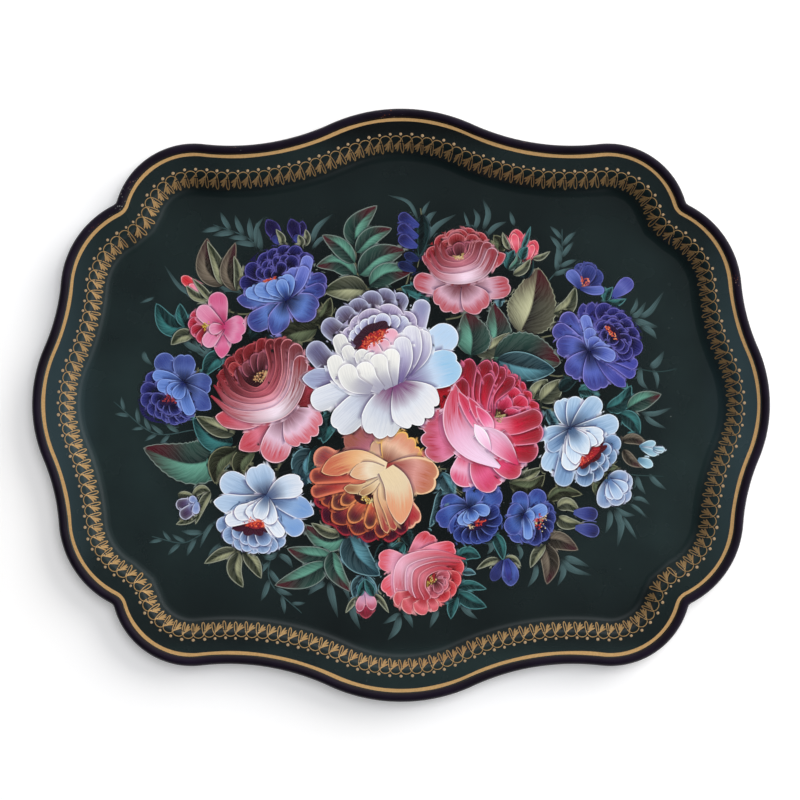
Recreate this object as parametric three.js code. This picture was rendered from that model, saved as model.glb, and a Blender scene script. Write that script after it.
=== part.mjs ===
// A shaped serving tray of painted sheet steel with a wired edge, in millimetres, +Z up.
//
// The tray is one pressed sheet: a flat well, a sloping wall and a brim whose edge is rolled
// round a steel wire. The origin is the middle of the underside, +X runs along the tray's length.
import * as THREE from "three";

// Overall size
const LENGTH = 489.6;
const WIDTH = 394.6;
const HEIGHT = 17;

// Outline: each quarter runs from the end's tip on +X to the side's tip on +Y.
// A crest and a lobe bulge outward, a hollow bends inward, and the notch parts the two lobes.
const END_CREST = { radius: 94.3, leave: 0.407 };
const END_HOLLOW = { radius: 135.7, leave: 0.079 };
const END_LOBE_RADIUS = 64.1;
const NOTCH_RADIUS = 3.5;
const SIDE_LOBE_RADIUS = 53.5;
const SIDE_HOLLOW = { radius: 158.4, leave: -0.115 };
const SIDE_CREST = { radius: 113.9, leave: 0.431 };
const QUARTER_STEPS = {
  endCrest: 3, endHollow: 2, endLobe: 6, notch: 3, sideLobe: 7, sideHollow: 4, sideCrest: 3,
};

// Sheet and rolled edge
const SHEET = 1.0;
const WIRE_RADIUS = 1.5;
const CURL_INNER_RADIUS = 1.9;
const CURL_TURN = THREE.MathUtils.degToRad(308);
const BEAD_RADIUS = CURL_INNER_RADIUS + SHEET;
const WIRE_GAP = 1;

// Wall and brim: a tight crease at the well's edge, a hollow foot, a straight wall, a rounded
// shoulder, the brim, and a small bend up to the rolled edge. Bends are radii of the sheet's middle.
const CREASE_SLOPE = THREE.MathUtils.degToRad(14);
const WALL_SLOPE = THREE.MathUtils.degToRad(52);
const BRIM_SLOPE = THREE.MathUtils.degToRad(3);
const CREASE_BEND = 2;
const FOOT_BEND = 9;
const SHOULDER_BEND = 7;
const BRIM_FLAT = 11.2;
const EDGE_BEND = 1.4;
const BEAD_ABOVE_BRIM = 0.2;

// Steps round each bend of the profile and round the wire
const BEND_STEPS = { crease: 1, foot: 2, shoulder: 3, edge: 1, curl: 8 };
const WIRE_SIDES = 8;

// The unit vector at an angle from the first axis.
const unit = (angle) => new THREE.Vector2(Math.cos(angle), Math.sin(angle));

// The centre of the arc that carries on from another at a shared normal.
// A radius is negative where the outline bends inward.
const nextCentre = (centre, radius, nextRadius, normal) =>
  centre.clone().addScaledVector(unit(normal), radius - nextRadius);

// The point at given distances from two centres, on the side away from the tray's middle.
function meetingPoint(first, firstDistance, second, secondDistance) {
  const between = second.clone().sub(first);
  const span = between.length();
  const along = (firstDistance ** 2 - secondDistance ** 2 + span ** 2) / (2 * span);
  const across = Math.sqrt(firstDistance ** 2 - along ** 2);
  const direction = between.divideScalar(span);
  const outward = new THREE.Vector2(-direction.y, direction.x);
  return first.clone().addScaledVector(direction, along).addScaledVector(outward, across);
}

// The arcs of one quarter: centre, signed radius, and the normal's angle at the start and end.
function quarterArcs() {
  const quarterTurn = Math.PI / 2;
  const endCrest = new THREE.Vector2(LENGTH / 2 - END_CREST.radius, 0);
  const endHollow = nextCentre(endCrest, END_CREST.radius, -END_HOLLOW.radius, END_CREST.leave);
  const endLobe = nextCentre(endHollow, -END_HOLLOW.radius, END_LOBE_RADIUS, END_HOLLOW.leave);
  const sideCrest = new THREE.Vector2(0, WIDTH / 2 - SIDE_CREST.radius);
  const crestLeave = quarterTurn - SIDE_CREST.leave;
  const hollowLeave = quarterTurn - SIDE_HOLLOW.leave;
  const sideHollow = nextCentre(sideCrest, SIDE_CREST.radius, -SIDE_HOLLOW.radius, crestLeave);
  const sideLobe = nextCentre(sideHollow, -SIDE_HOLLOW.radius, SIDE_LOBE_RADIUS, hollowLeave);
  const notch = meetingPoint(
    sideLobe, SIDE_LOBE_RADIUS + NOTCH_RADIUS, endLobe, END_LOBE_RADIUS + NOTCH_RADIUS);
  const notchEnter = notch.clone().sub(endLobe).angle();
  const notchLeave = notch.clone().sub(sideLobe).angle();
  const steps = QUARTER_STEPS;
  return [
    [endCrest, END_CREST.radius, 0, END_CREST.leave, steps.endCrest],
    [endHollow, -END_HOLLOW.radius, END_CREST.leave, END_HOLLOW.leave, steps.endHollow],
    [endLobe, END_LOBE_RADIUS, END_HOLLOW.leave, notchEnter, steps.endLobe],
    [notch, -NOTCH_RADIUS, notchEnter, notchLeave, steps.notch],
    [sideLobe, SIDE_LOBE_RADIUS, notchLeave, hollowLeave, steps.sideLobe],
    [sideHollow, -SIDE_HOLLOW.radius, hollowLeave, crestLeave, steps.sideHollow],
    [sideCrest, SIDE_CREST.radius, crestLeave, quarterTurn, steps.sideCrest],
  ];
}

// The whole outline, anticlockwise from the +X tip, as edge points with outward normals.
function outlineLoop() {
  const quarter = quarterArcs().flatMap(([centre, radius, from, to, steps], index) => {
    const first = index === 0 ? 0 : 1;
    return Array.from({ length: steps + 1 - first }, (_, step) => {
      const normal = unit(from + ((to - from) * (step + first)) / steps);
      return { edge: centre.clone().addScaledVector(normal, radius), normal };
    });
  });
  const mirror = (stations, x, y) => stations.map(({ edge, normal }) => ({
    edge: new THREE.Vector2(edge.x * x, edge.y * y),
    normal: new THREE.Vector2(normal.x * x, normal.y * y),
  }));
  const half = [...quarter, ...mirror(quarter.slice(0, -1).reverse(), -1, 1)];
  return [...half, ...mirror(half.slice(1, -1).reverse(), 1, -1)];
}

// A place on the profile: across is measured outward from the tray's edge, so it is negative.
const alongHeading = (heading) => unit(heading);
const aboveHeading = (heading) => unit(heading + Math.PI / 2);

// One bend of the sheet's middle surface, as places with the direction square to the sheet.
// A bend that turns downward has a negative radius.
function bendPlaces(centre, radius, from, to, steps) {
  return Array.from({ length: steps + 1 }, (_, step) => {
    const above = aboveHeading(from + ((to - from) * step) / steps);
    return { place: centre.clone().addScaledVector(above, -radius), above };
  });
}

// The sheet's middle surface, from the well's edge over the wall, brim and bead to the curl's end.
function sheetProfile() {
  const curlRadius = CURL_INNER_RADIUS + SHEET / 2;
  const bead = new THREE.Vector2(-BEAD_RADIUS, HEIGHT - BEAD_RADIUS);
  const toBead = Math.asin((EDGE_BEND - BEAD_ABOVE_BRIM) / (curlRadius + EDGE_BEND));
  const edgeBend = bead.clone().addScaledVector(unit(Math.PI - toBead), curlRadius + EDGE_BEND);
  const curlStart = Math.PI / 2 - toBead;
  const shoulder = edgeBend.clone()
    .addScaledVector(aboveHeading(BRIM_SLOPE), -EDGE_BEND - SHOULDER_BEND)
    .addScaledVector(alongHeading(BRIM_SLOPE), -BRIM_FLAT);
  const creaseHeight = SHEET / 2 + CREASE_BEND;
  const creaseToFoot = aboveHeading(CREASE_SLOPE).multiplyScalar(FOOT_BEND - CREASE_BEND);
  const footHeight = creaseHeight + creaseToFoot.y;
  const rise = (shoulder.y - footHeight) * Math.cos(WALL_SLOPE) + SHOULDER_BEND + FOOT_BEND;
  const foot = new THREE.Vector2(shoulder.x - rise / Math.sin(WALL_SLOPE), footHeight);
  const crease = foot.clone().sub(creaseToFoot);
  const steps = BEND_STEPS;
  return [
    ...bendPlaces(crease, CREASE_BEND, 0, CREASE_SLOPE, steps.crease),
    ...bendPlaces(foot, FOOT_BEND, CREASE_SLOPE, WALL_SLOPE, steps.foot).slice(1),
    ...bendPlaces(shoulder, -SHOULDER_BEND, WALL_SLOPE, BRIM_SLOPE, steps.shoulder),
    ...bendPlaces(edgeBend, EDGE_BEND, BRIM_SLOPE, curlStart, steps.edge),
    ...bendPlaces(bead, -curlRadius, curlStart, curlStart - CURL_TURN, steps.curl).slice(1),
  ];
}

// A closed solid from shared vertices and the triangles between them.
function solidMesh(name, vertices, triangles, material) {
  const geometry = new THREE.BufferGeometry().setFromPoints(vertices);
  geometry.setIndex(triangles);
  geometry.computeVertexNormals();
  const mesh = new THREE.Mesh(geometry, material);
  mesh.name = name;
  return mesh;
}

// Triangles between each row of vertices and the next. Rows that close join end to start.
function stitchRows(rowCount, rowLength, closed) {
  const triangles = [];
  const columns = closed ? rowLength : rowLength - 1;
  for (let row = 0; row < rowCount - 1; row += 1) {
    for (let column = 0; column < columns; column += 1) {
      const here = row * rowLength + column;
      const beside = row * rowLength + ((column + 1) % rowLength);
      triangles.push(here, beside, here + rowLength);
      triangles.push(beside, beside + rowLength, here + rowLength);
    }
  }
  return triangles;
}

// Triangles from one vertex to each pair of neighbours on a closed row.
function fan(hub, firstOfRow, rowLength, reversed) {
  const triangles = [];
  for (let column = 0; column < rowLength; column += 1) {
    const here = firstOfRow + column;
    const beside = firstOfRow + ((column + 1) % rowLength);
    triangles.push(hub, reversed ? beside : here, reversed ? here : beside);
  }
  return triangles;
}

// A place on the profile carried to one station of the outline.
const carry = ({ edge, normal }, place) =>
  new THREE.Vector3(edge.x + normal.x * place.x, edge.y + normal.y * place.x, place.y);

// The pressed pan: the profile's two faces swept round the outline and closed over the well.
function trayPan(outline) {
  const middle = sheetProfile();
  const face = (side) => middle.map(({ place, above }) =>
    place.clone().addScaledVector(above, (side * SHEET) / 2));
  const rows = [...face(-1), ...face(1).reverse()];
  const vertices = rows.flatMap((place) => outline.map((station) => carry(station, place)));
  const underHub = vertices.push(new THREE.Vector3(0, 0, 0)) - 1;
  const floorHub = vertices.push(new THREE.Vector3(0, 0, SHEET)) - 1;
  const lastRow = (rows.length - 1) * outline.length;
  const triangles = [
    ...fan(underHub, 0, outline.length, true),
    ...stitchRows(rows.length, outline.length, true),
    ...fan(floorHub, lastRow, outline.length, false),
  ];
  const lacquer = new THREE.MeshStandardMaterial({
    color: 0x1c2b2a, roughness: 0.35, metalness: 0, side: THREE.DoubleSide,
  });
  return solidMesh("tray_pan", vertices, triangles, lacquer);
}

// The wire inside the rolled edge: one bent ring whose two ends meet at the middle of one side.
function rimWire(outline) {
  const quarter = outline.length / 4;
  const sideTip = 3 * quarter;
  const ring = [...outline.slice(sideTip), ...outline.slice(0, sideTip + 1)];
  const stations = ring.map(({ edge, normal }, index) => {
    const atStart = index === 0;
    const atEnd = index === ring.length - 1;
    const shift = atStart ? WIRE_GAP / 2 : atEnd ? -WIRE_GAP / 2 : 0;
    const along = new THREE.Vector2(-normal.y, normal.x);
    return { edge: edge.clone().addScaledVector(along, shift), normal };
  });
  const middle = new THREE.Vector2(-BEAD_RADIUS, HEIGHT - BEAD_RADIUS);
  const section = Array.from({ length: WIRE_SIDES }, (_, side) =>
    middle.clone().addScaledVector(unit((-2 * Math.PI * side) / WIRE_SIDES), WIRE_RADIUS));
  const vertices = stations.flatMap((station) => section.map((place) => carry(station, place)));
  const startHub = vertices.push(carry(stations[0], middle)) - 1;
  const endHub = vertices.push(carry(stations.at(-1), middle)) - 1;
  const lastRow = (stations.length - 1) * WIRE_SIDES;
  const triangles = [
    ...fan(startHub, 0, WIRE_SIDES, true),
    ...stitchRows(stations.length, WIRE_SIDES, true),
    ...fan(endHub, lastRow, WIRE_SIDES, false),
  ];
  const steel = new THREE.MeshStandardMaterial({ color: 0x8d9094, roughness: 0.45, metalness: 1 });
  return solidMesh("rim_wire", vertices, triangles, steel);
}

const outline = outlineLoop();
const tray = new THREE.Group();
tray.name = "shaped_tray";
tray.add(trayPan(outline), rimWire(outline));

export default tray;
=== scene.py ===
# A painted steel tray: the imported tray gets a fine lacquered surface, a gold border and a painted bouquet.
# Sizes are in millimetres and become metres where a mesh is made. Every random draw is seeded.
import math
import random
from bisect import bisect_left

import bpy
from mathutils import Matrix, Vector


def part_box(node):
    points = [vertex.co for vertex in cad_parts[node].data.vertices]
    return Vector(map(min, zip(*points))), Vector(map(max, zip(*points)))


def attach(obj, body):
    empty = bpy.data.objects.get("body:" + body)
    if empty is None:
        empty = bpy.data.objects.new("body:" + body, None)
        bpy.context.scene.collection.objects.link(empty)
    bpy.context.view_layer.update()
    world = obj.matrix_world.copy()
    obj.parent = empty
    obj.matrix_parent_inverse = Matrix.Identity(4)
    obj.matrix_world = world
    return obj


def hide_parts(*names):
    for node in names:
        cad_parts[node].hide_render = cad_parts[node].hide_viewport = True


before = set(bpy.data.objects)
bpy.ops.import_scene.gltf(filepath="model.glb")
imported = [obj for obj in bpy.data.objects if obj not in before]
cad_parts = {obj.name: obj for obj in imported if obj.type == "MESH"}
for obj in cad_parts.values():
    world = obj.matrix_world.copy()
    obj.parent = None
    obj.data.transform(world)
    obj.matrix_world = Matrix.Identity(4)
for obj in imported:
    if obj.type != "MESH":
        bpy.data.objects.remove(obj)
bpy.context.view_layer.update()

MM = 0.001

# ---------------------------------------------------------------- the tray's shape, as the CAD part has it
# An arc's own value is its radius. LEAVE is the angle of the normal where it meets the next arc, in radians.
PAN_LOW, PAN_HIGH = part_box("tray_pan")
LENGTH = (PAN_HIGH[0] - PAN_LOW[0]) / MM
WIDTH = (PAN_HIGH[1] - PAN_LOW[1]) / MM
HEIGHT = (PAN_HIGH[2] - PAN_LOW[2]) / MM
END_CREST, END_CREST_LEAVE = 94.3, 0.407
END_HOLLOW, END_HOLLOW_LEAVE = 135.7, 0.079
END_LOBE = 64.1
NOTCH = 3.5
SIDE_LOBE = 53.5
SIDE_HOLLOW, SIDE_HOLLOW_LEAVE = 158.4, -0.115
SIDE_CREST, SIDE_CREST_LEAVE = 113.9, 0.431
SHEET = 1.0
CURL_MIDDLE = 2.4
BEAD = CURL_MIDDLE + SHEET / 2
CURL_TURN = math.radians(308)
CREASE_SLOPE, WALL_SLOPE, BRIM_SLOPE = math.radians(14), math.radians(52), math.radians(3)
CREASE_BEND, FOOT_BEND, SHOULDER_BEND, EDGE_BEND = 2.0, 9.0, 7.0, 1.4
BRIM_FLAT = 11.2
BEAD_ABOVE_BRIM = 0.2
TURN = 2 * math.pi


def unit(angle):
    return Vector((math.cos(angle), math.sin(angle)))


def meeting_point(first, first_distance, second, second_distance):
    """The point at given distances from two centres, on the side away from the tray's middle."""
    between = second - first
    along = (first_distance**2 - second_distance**2 + between.length**2) / (2 * between.length)
    across = math.sqrt(first_distance**2 - along**2)
    direction = between.normalized()
    return first + direction * along + Vector((-direction.y, direction.x)) * across


def quarter_arcs():
    """One quarter's arcs, as centre, signed radius, and the normal's angle at start and end."""
    quarter = math.pi / 2
    crest_leave, hollow_leave = quarter - SIDE_CREST_LEAVE, quarter - SIDE_HOLLOW_LEAVE
    end_crest = Vector((LENGTH / 2 - END_CREST, 0))
    end_hollow = end_crest + unit(END_CREST_LEAVE) * (END_CREST + END_HOLLOW)
    end_lobe = end_hollow - unit(END_HOLLOW_LEAVE) * (END_HOLLOW + END_LOBE)
    side_crest = Vector((0, WIDTH / 2 - SIDE_CREST))
    side_hollow = side_crest + unit(crest_leave) * (SIDE_CREST + SIDE_HOLLOW)
    side_lobe = side_hollow - unit(hollow_leave) * (SIDE_HOLLOW + SIDE_LOBE)
    notch = meeting_point(side_lobe, SIDE_LOBE + NOTCH, end_lobe, END_LOBE + NOTCH)
    to_end, to_side = notch - end_lobe, notch - side_lobe
    enter, leave = math.atan2(to_end.y, to_end.x), math.atan2(to_side.y, to_side.x)
    return [
        (end_crest, END_CREST, 0, END_CREST_LEAVE),
        (end_hollow, -END_HOLLOW, END_CREST_LEAVE, END_HOLLOW_LEAVE),
        (end_lobe, END_LOBE, END_HOLLOW_LEAVE, enter),
        (notch, -NOTCH, enter, leave),
        (side_lobe, SIDE_LOBE, leave, hollow_leave),
        (side_hollow, -SIDE_HOLLOW, hollow_leave, crest_leave),
        (side_crest, SIDE_CREST, crest_leave, quarter),
    ]


def outline_arcs():
    """The whole outline's arcs, anticlockwise from the middle of the +X end."""
    first = quarter_arcs()
    second = [(Vector((-c.x, c.y)), r, math.pi - b, math.pi - a) for c, r, a, b in reversed(first)]
    half = first + second
    return half + [(-c, r, a + math.pi, b + math.pi) for c, r, a, b in half]


ARCS = outline_arcs()


def walk(inset, spacing):
    """Points evenly spaced along the outline moved in by inset, with the outward normal at each."""
    lengths = [abs((r - inset) * (b - a)) for c, r, a, b in ARCS]
    total = sum(lengths)
    count = 4 * round(total / spacing / 4)
    places, arc, passed = [], 0, 0.0
    for step in range(count):
        wanted = total * step / count
        while wanted > passed + lengths[arc]:
            passed += lengths[arc]
            arc += 1
        centre, radius, start, end = ARCS[arc]
        angle = start + (end - start) * (wanted - passed) / lengths[arc]
        places.append((centre + unit(angle) * (radius - inset), unit(angle), centre, radius))
    return places


def bend(centre, radius, start, end, steps):
    """Places along a bend of the sheet's middle surface, with the direction square to it."""
    turns = [start + (end - start) * step / steps for step in range(steps + 1)]
    squares = [unit(turn + math.pi / 2) for turn in turns]
    return [(centre - square * radius, square) for square in squares]


def sheet_profile(crease, foot, shoulder, edge, curl):
    """The sheet's middle surface across the rim. Each argument is the number of steps in a bend."""
    bead = Vector((-BEAD, HEIGHT - BEAD))
    to_bead = math.asin((EDGE_BEND - BEAD_ABOVE_BRIM) / (CURL_MIDDLE + EDGE_BEND))
    edge_centre = bead + unit(math.pi - to_bead) * (CURL_MIDDLE + EDGE_BEND)
    curl_start = math.pi / 2 - to_bead
    above_brim = unit(BRIM_SLOPE + math.pi / 2)
    shoulder_centre = edge_centre - above_brim * (EDGE_BEND + SHOULDER_BEND) - unit(BRIM_SLOPE) * BRIM_FLAT
    to_foot = unit(CREASE_SLOPE + math.pi / 2) * (FOOT_BEND - CREASE_BEND)
    foot_height = SHEET / 2 + CREASE_BEND + to_foot.y
    rise = (shoulder_centre.y - foot_height) * math.cos(WALL_SLOPE) + SHOULDER_BEND + FOOT_BEND
    foot_centre = Vector((shoulder_centre.x - rise / math.sin(WALL_SLOPE), foot_height))
    return (
        bend(foot_centre - to_foot, CREASE_BEND, 0, CREASE_SLOPE, crease),
        bend(foot_centre, FOOT_BEND, CREASE_SLOPE, WALL_SLOPE, foot)[1:],
        bend(shoulder_centre, -SHOULDER_BEND, WALL_SLOPE, BRIM_SLOPE, shoulder),
        bend(edge_centre, EDGE_BEND, BRIM_SLOPE, curl_start, edge),
        bend(bead, -CURL_MIDDLE, curl_start, curl_start - CURL_TURN, curl)[1:],
    )


def surface_table():
    """Inset and height of the painted face from the rolled edge in to the flat well."""
    bends = sheet_profile(crease=6, foot=20, shoulder=20, edge=8, curl=48)
    inner = [place + square * SHEET / 2 for part in bends[:4] for place, square in part]
    return sorted((-place.x, place.y) for place in inner)


SURFACE = surface_table()
SURFACE_INSETS = [inset for inset, height in SURFACE]
WELL_INSET = SURFACE_INSETS[-1]


def face_height(inset):
    """The painted face's height where it lies inset from the tray's outer edge."""
    if inset >= WELL_INSET:
        return SHEET
    index = max(1, bisect_left(SURFACE_INSETS, inset))
    (low, low_height), (high, high_height) = SURFACE[index - 1], SURFACE[index]
    share = (inset - low) / (high - low)
    return low_height + share * (high_height - low_height)


# ---------------------------------------------------------------- materials
def linear(code):
    """A hex colour such as "1c2b2a" as linear red, green, blue."""
    parts = [int(code[i : i + 2], 16) / 255 for i in (0, 2, 4)]
    return tuple(p / 12.92 if p <= 0.04045 else ((p + 0.055) / 1.055) ** 2.4 for p in parts)


def blend(first, second, share):
    share = min(1.0, max(0.0, share))
    return tuple(a + (b - a) * share for a, b in zip(first, second))


def even(count):
    """Numbers from 0 to 1 in count even steps."""
    return [index / count for index in range(count + 1)]


class Nodes:
    """A short way to build a material's node tree."""

    def __init__(self, name):
        self.material = bpy.data.materials.new(name)
        self.material.use_nodes = True
        self.tree = self.material.node_tree
        self.shader = self.tree.nodes["Principled BSDF"]

    def add(self, kind, settings=None, **inputs):
        node = self.tree.nodes.new("ShaderNode" + kind)
        for key, value in (settings or {}).items():
            setattr(node, key, value)
        for key, value in inputs.items():
            self.put(node, key.replace("_", " "), value)
        return node

    def put(self, node, socket, value):
        target = node.inputs[int(socket)] if socket.isdigit() else node.inputs[socket]
        if isinstance(value, bpy.types.NodeSocket):
            self.tree.links.new(value, target)
        else:
            target.default_value = value

    def noise(self, vector, scale, detail=3.0, roughness=0.55):
        node = self.add("TexNoise", Vector=vector, Scale=scale, Detail=detail, Roughness=roughness)
        return node.outputs["Fac"]

    def ramp(self, factor, stops):
        node = self.add("ValToRGB", Fac=factor)
        points = node.color_ramp.elements
        while len(points) < len(stops):
            points.new(0.5)
        for point, (position, colour) in zip(points, stops):
            point.position = position
            point.color = (*colour, 1.0) if len(colour) == 3 else colour
        return node.outputs["Color"]

    def grey(self, factor, low, low_value, high, high_value):
        """A factor stretched so that low gives low_value and high gives high_value."""
        node = self.add("MapRange", {"clamp": True}, Value=factor)
        for name, value in zip(("From Min", "From Max", "To Min", "To Max"),
                (low, high, low_value, high_value)):
            node.inputs[name].default_value = value
        return node.outputs["Result"]

    def mix(self, factor, first, second, mode="MIX"):
        node = self.add("Mix", {"data_type": "RGBA", "blend_type": mode})
        for index, value in ((0, factor), (6, first), (7, second)):
            if isinstance(value, tuple) and len(value) == 3:
                value = (*value, 1.0)
            self.put(node, str(index), value)
        return node.outputs[2]

    def finish(self, **inputs):
        for key, value in inputs.items():
            self.put(self.shader, key.replace("_", " "), value)
        return self.material

    def bump(self, height, strength, distance):
        node = self.add("Bump", Height=height, Strength=strength, Distance=distance)
        return node.outputs["Normal"]

    def place(self):
        return self.add("TexCoord").outputs["Object"]

    def attribute(self, name, output="Color"):
        return self.add("Attribute", {"attribute_name": name}).outputs[output]


# The black oval under the bouquet: its half length and half width, its colour, how strong it is, and where it
# starts and ends to fade, as shares of that half size.
BLACK_OVAL, OVAL_BLACK, OVAL_SHARE = (165.0, 128.0), "05090a", 0.85
OVAL_FADES, OVAL_ENDS = 0.75, 1.1
# The well has painted shade: it is darker towards the far side and in a band on the near side.
PAINTED_SHADE_TINT, FAR_SHADE_SHARE, NEAR_SHADE_SHARE = "080c0d", 0.36, 0.55
# The brim has a painted pale reflection at both ends and painted shade, nearly black, at the far crest.
# STARTS and FULL are in metres.
END_REFLECTION_TINT, END_STARTS, END_FULL, END_REFLECTION_SHARE = "2c3e44", 0.2, 0.225, 0.6
CREST_SHADE_TINT, CREST_STARTS, CREST_FULL, CREST_SHADE_SHARE = "040505", 0.168, 0.182, 0.8


def lacquer_material():
    """Dark green lacquer, brushed in faint clouds, near black under the bouquet, with a few white specks.
    Painted shade darkens the well towards the far side and in a near band, and the brim's far crest; a
    painted pale reflection lightens the brim's ends.
    """
    n = Nodes("green_lacquer")
    place = n.place()
    clouds = n.noise(place, 14.0, 4.0)
    base = n.ramp(clouds, [(0.3, linear("152021")), (0.7, linear("1f2e2e"))])
    fine = n.noise(place, 260.0, 2.0)
    base = n.mix(n.grey(fine, 0.4, 0.0, 0.7, 0.16), base, linear("202e2c"))
    squeezed = n.add("Mapping", Vector=place, Scale=(1 / (BLACK_OVAL[0] * MM), 1 / (BLACK_OVAL[1] * MM), 0.0))
    from_middle = n.add("VectorMath", {"operation": "LENGTH"})
    n.put(from_middle, "0", squeezed.outputs[0])
    middle_share = n.grey(from_middle.outputs["Value"], OVAL_FADES, OVAL_SHARE, OVAL_ENDS, 0.0)
    base = n.mix(middle_share, base, linear(OVAL_BLACK))
    across = n.add("SeparateXYZ", Vector=place).outputs
    end = n.add("Math", {"operation": "ABSOLUTE"})
    n.put(end, "0", across["X"])
    # painted pale reflection on the brim at both ends
    base = n.mix(n.grey(end.outputs[0], END_STARTS, 0.0, END_FULL, END_REFLECTION_SHARE), base, linear(END_REFLECTION_TINT))
    # painted shade towards the far side of the well
    base = n.mix(n.grey(across["Y"], 0.05, 0.0, 0.13, FAR_SHADE_SHARE), base, linear(PAINTED_SHADE_TINT))
    # painted shade, nearly black, at the brim's far crest
    base = n.mix(n.grey(across["Y"], CREST_STARTS, 0.0, CREST_FULL, CREST_SHADE_SHARE), base, linear(CREST_SHADE_TINT))
    # painted shade in a band along the near side of the well
    none, full = (0, 0, 0), (NEAR_SHADE_SHARE,) * 3
    near_half = n.grey(across["Y"], -0.2, 0.0, 0.0, 1.0)
    near_shade_band = n.ramp(near_half, [(0.16, none), (0.22, full), (0.28, full), (0.55, none)])
    base = n.mix(near_shade_band, base, linear(PAINTED_SHADE_TINT))
    specks = n.add("TexVoronoi", Vector=place, Scale=70.0).outputs["Distance"]
    rare = n.noise(place, 9.0, 1.0)
    speck = n.add("Math", {"operation": "MULTIPLY"})
    n.put(speck, "0", n.grey(specks, 0.018, 1.0, 0.03, 0.0))
    n.put(speck, "1", n.grey(rare, 0.56, 0.0, 0.62, 0.5))
    colour = n.mix(speck.outputs[0], base, linear("aab4ac"))
    roughness = n.grey(n.noise(place, 30.0, 3.0), 0.3, 0.2, 0.7, 0.3)
    ripple = n.bump(n.noise(place, 45.0, 2.0), 0.06, 0.001)
    return n.finish(
        Base_Color=colour, Roughness=roughness, Normal=ripple, Specular_IOR_Level=0.4, Coat_Weight=0.2,
        Coat_Roughness=0.1)


def enamel_material():
    """Aubergine enamel on the rolled edge, chipped to pale ground and rust in places."""
    n = Nodes("aubergine_enamel")
    place = n.place()
    clouds = n.noise(place, 40.0, 4.0)
    base = n.ramp(clouds, [(0.3, linear("100b14")), (0.7, linear("1a1222"))])
    round_edge = n.attribute("round", "Fac")
    base = n.mix(n.grey(round_edge, 0.62, 0.0, 0.85, 0.8), base, linear("131f1e"))
    chips = n.add("TexVoronoi", Vector=place, Scale=520.0).outputs["Distance"]
    worn = n.noise(place, 26.0, 2.0)
    chip = n.add("Math", {"operation": "MULTIPLY"})
    n.put(chip, "0", n.grey(chips, 0.16, 1.0, 0.26, 0.0))
    n.put(chip, "1", n.grey(worn, 0.6, 0.0, 0.68, 0.75))
    rust = n.ramp(n.noise(place, 90.0, 1.0), [(0.42, linear("c9cdc9")), (0.58, linear("8a4a2c"))])
    colour = n.mix(chip.outputs[0], base, rust)
    roughness = n.grey(clouds, 0.3, 0.38, 0.7, 0.52)
    dents = n.bump(n.noise(place, 120.0, 3.0), 0.12, 0.001)
    return n.finish(Base_Color=colour, Roughness=roughness, Normal=dents, Specular_IOR_Level=0.3)


def underside_material():
    """The plain underside: thin dark varnish over steel, rubbed and dusty."""
    n = Nodes("underside_varnish")
    place = n.place()
    clouds = n.noise(place, 18.0, 5.0)
    base = n.ramp(clouds, [(0.3, linear("151310")), (0.6, linear("241f1a")), (0.8, linear("3a342c"))])
    roughness = n.grey(n.noise(place, 60.0, 4.0), 0.3, 0.35, 0.7, 0.6)
    skin = n.bump(n.noise(place, 300.0, 3.0), 0.1, 0.001)
    return n.finish(Base_Color=base, Roughness=roughness, Normal=skin)


def paint_material(name, streak, roughness):
    """Oil paint under varnish: two colours per stroke, mixed in streaks that follow the brush."""
    n = Nodes(name)
    along = n.attribute("stroke", "Vector")
    streaks = n.noise(along, 1.0, 3.0, 0.6)
    mixed = n.mix(n.grey(streaks, 0.36, 0.0, 0.64, streak), n.attribute("near"), n.attribute("far"))
    relief = n.bump(streaks, 0.12, 0.0004)
    gloss = n.grey(streaks, 0.3, roughness - 0.05, 0.7, roughness + 0.06)
    return n.finish(Base_Color=mixed, Roughness=gloss, Normal=relief, Coat_Weight=0.25, Coat_Roughness=0.1)


def gold_material(name, metal):
    """Gold paint: bronze powder in varnish, a little uneven where the brush ran dry."""
    n = Nodes(name)
    place = n.place()
    grain = n.noise(place, 700.0, 3.0)
    colour = n.mix(n.grey(grain, 0.35, 0.0, 0.7, 0.55), n.attribute("near"), n.attribute("far"))
    relief = n.bump(grain, 0.1, 0.0003)
    roughness = n.grey(grain, 0.3, 0.38, 0.7, 0.52)
    return n.finish(
        Base_Color=colour, Roughness=roughness, Normal=relief, Metallic=metal, Coat_Weight=0.2,
        Coat_Roughness=0.2)


def steel_material():
    """Drawn steel wire with fine scratches."""
    n = Nodes("drawn_steel")
    place = n.place()
    scratches = n.noise(place, 900.0, 2.0)
    colour = n.ramp(scratches, [(0.3, linear("77797b")), (0.7, linear("a3a5a8"))])
    roughness = n.grey(scratches, 0.3, 0.3, 0.7, 0.5)
    return n.finish(Base_Color=colour, Roughness=roughness, Metallic=1.0)


LACQUER = lacquer_material()
ENAMEL = enamel_material()
UNDERSIDE = underside_material()
PETAL_PAINT = paint_material("petal_paint", 1.0, 0.27)
LEAF_PAINT = paint_material("leaf_paint", 0.45, 0.27)
GOLD_LINE = gold_material("gold_line_paint", 0.2)
GOLD = gold_material("gold_paint", 0.6)


# ---------------------------------------------------------------- the pan, fine enough to look smooth
def mesh_object(name, verts, faces, materials):
    mesh = bpy.data.meshes.new(name)
    mesh.from_pydata([(x * MM, y * MM, z * MM) for x, y, z in verts], [], faces)
    for material in materials:
        mesh.materials.append(material)
    mesh.polygons.foreach_set("use_smooth", [True] * len(mesh.polygons))
    piece = bpy.data.objects.new(name, mesh)
    bpy.context.collection.objects.link(piece)
    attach(piece, "root")
    return piece


PAN_SPACING = 2.0
ON_TOP, ON_EDGE, BELOW = 0, 1, 2


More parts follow.
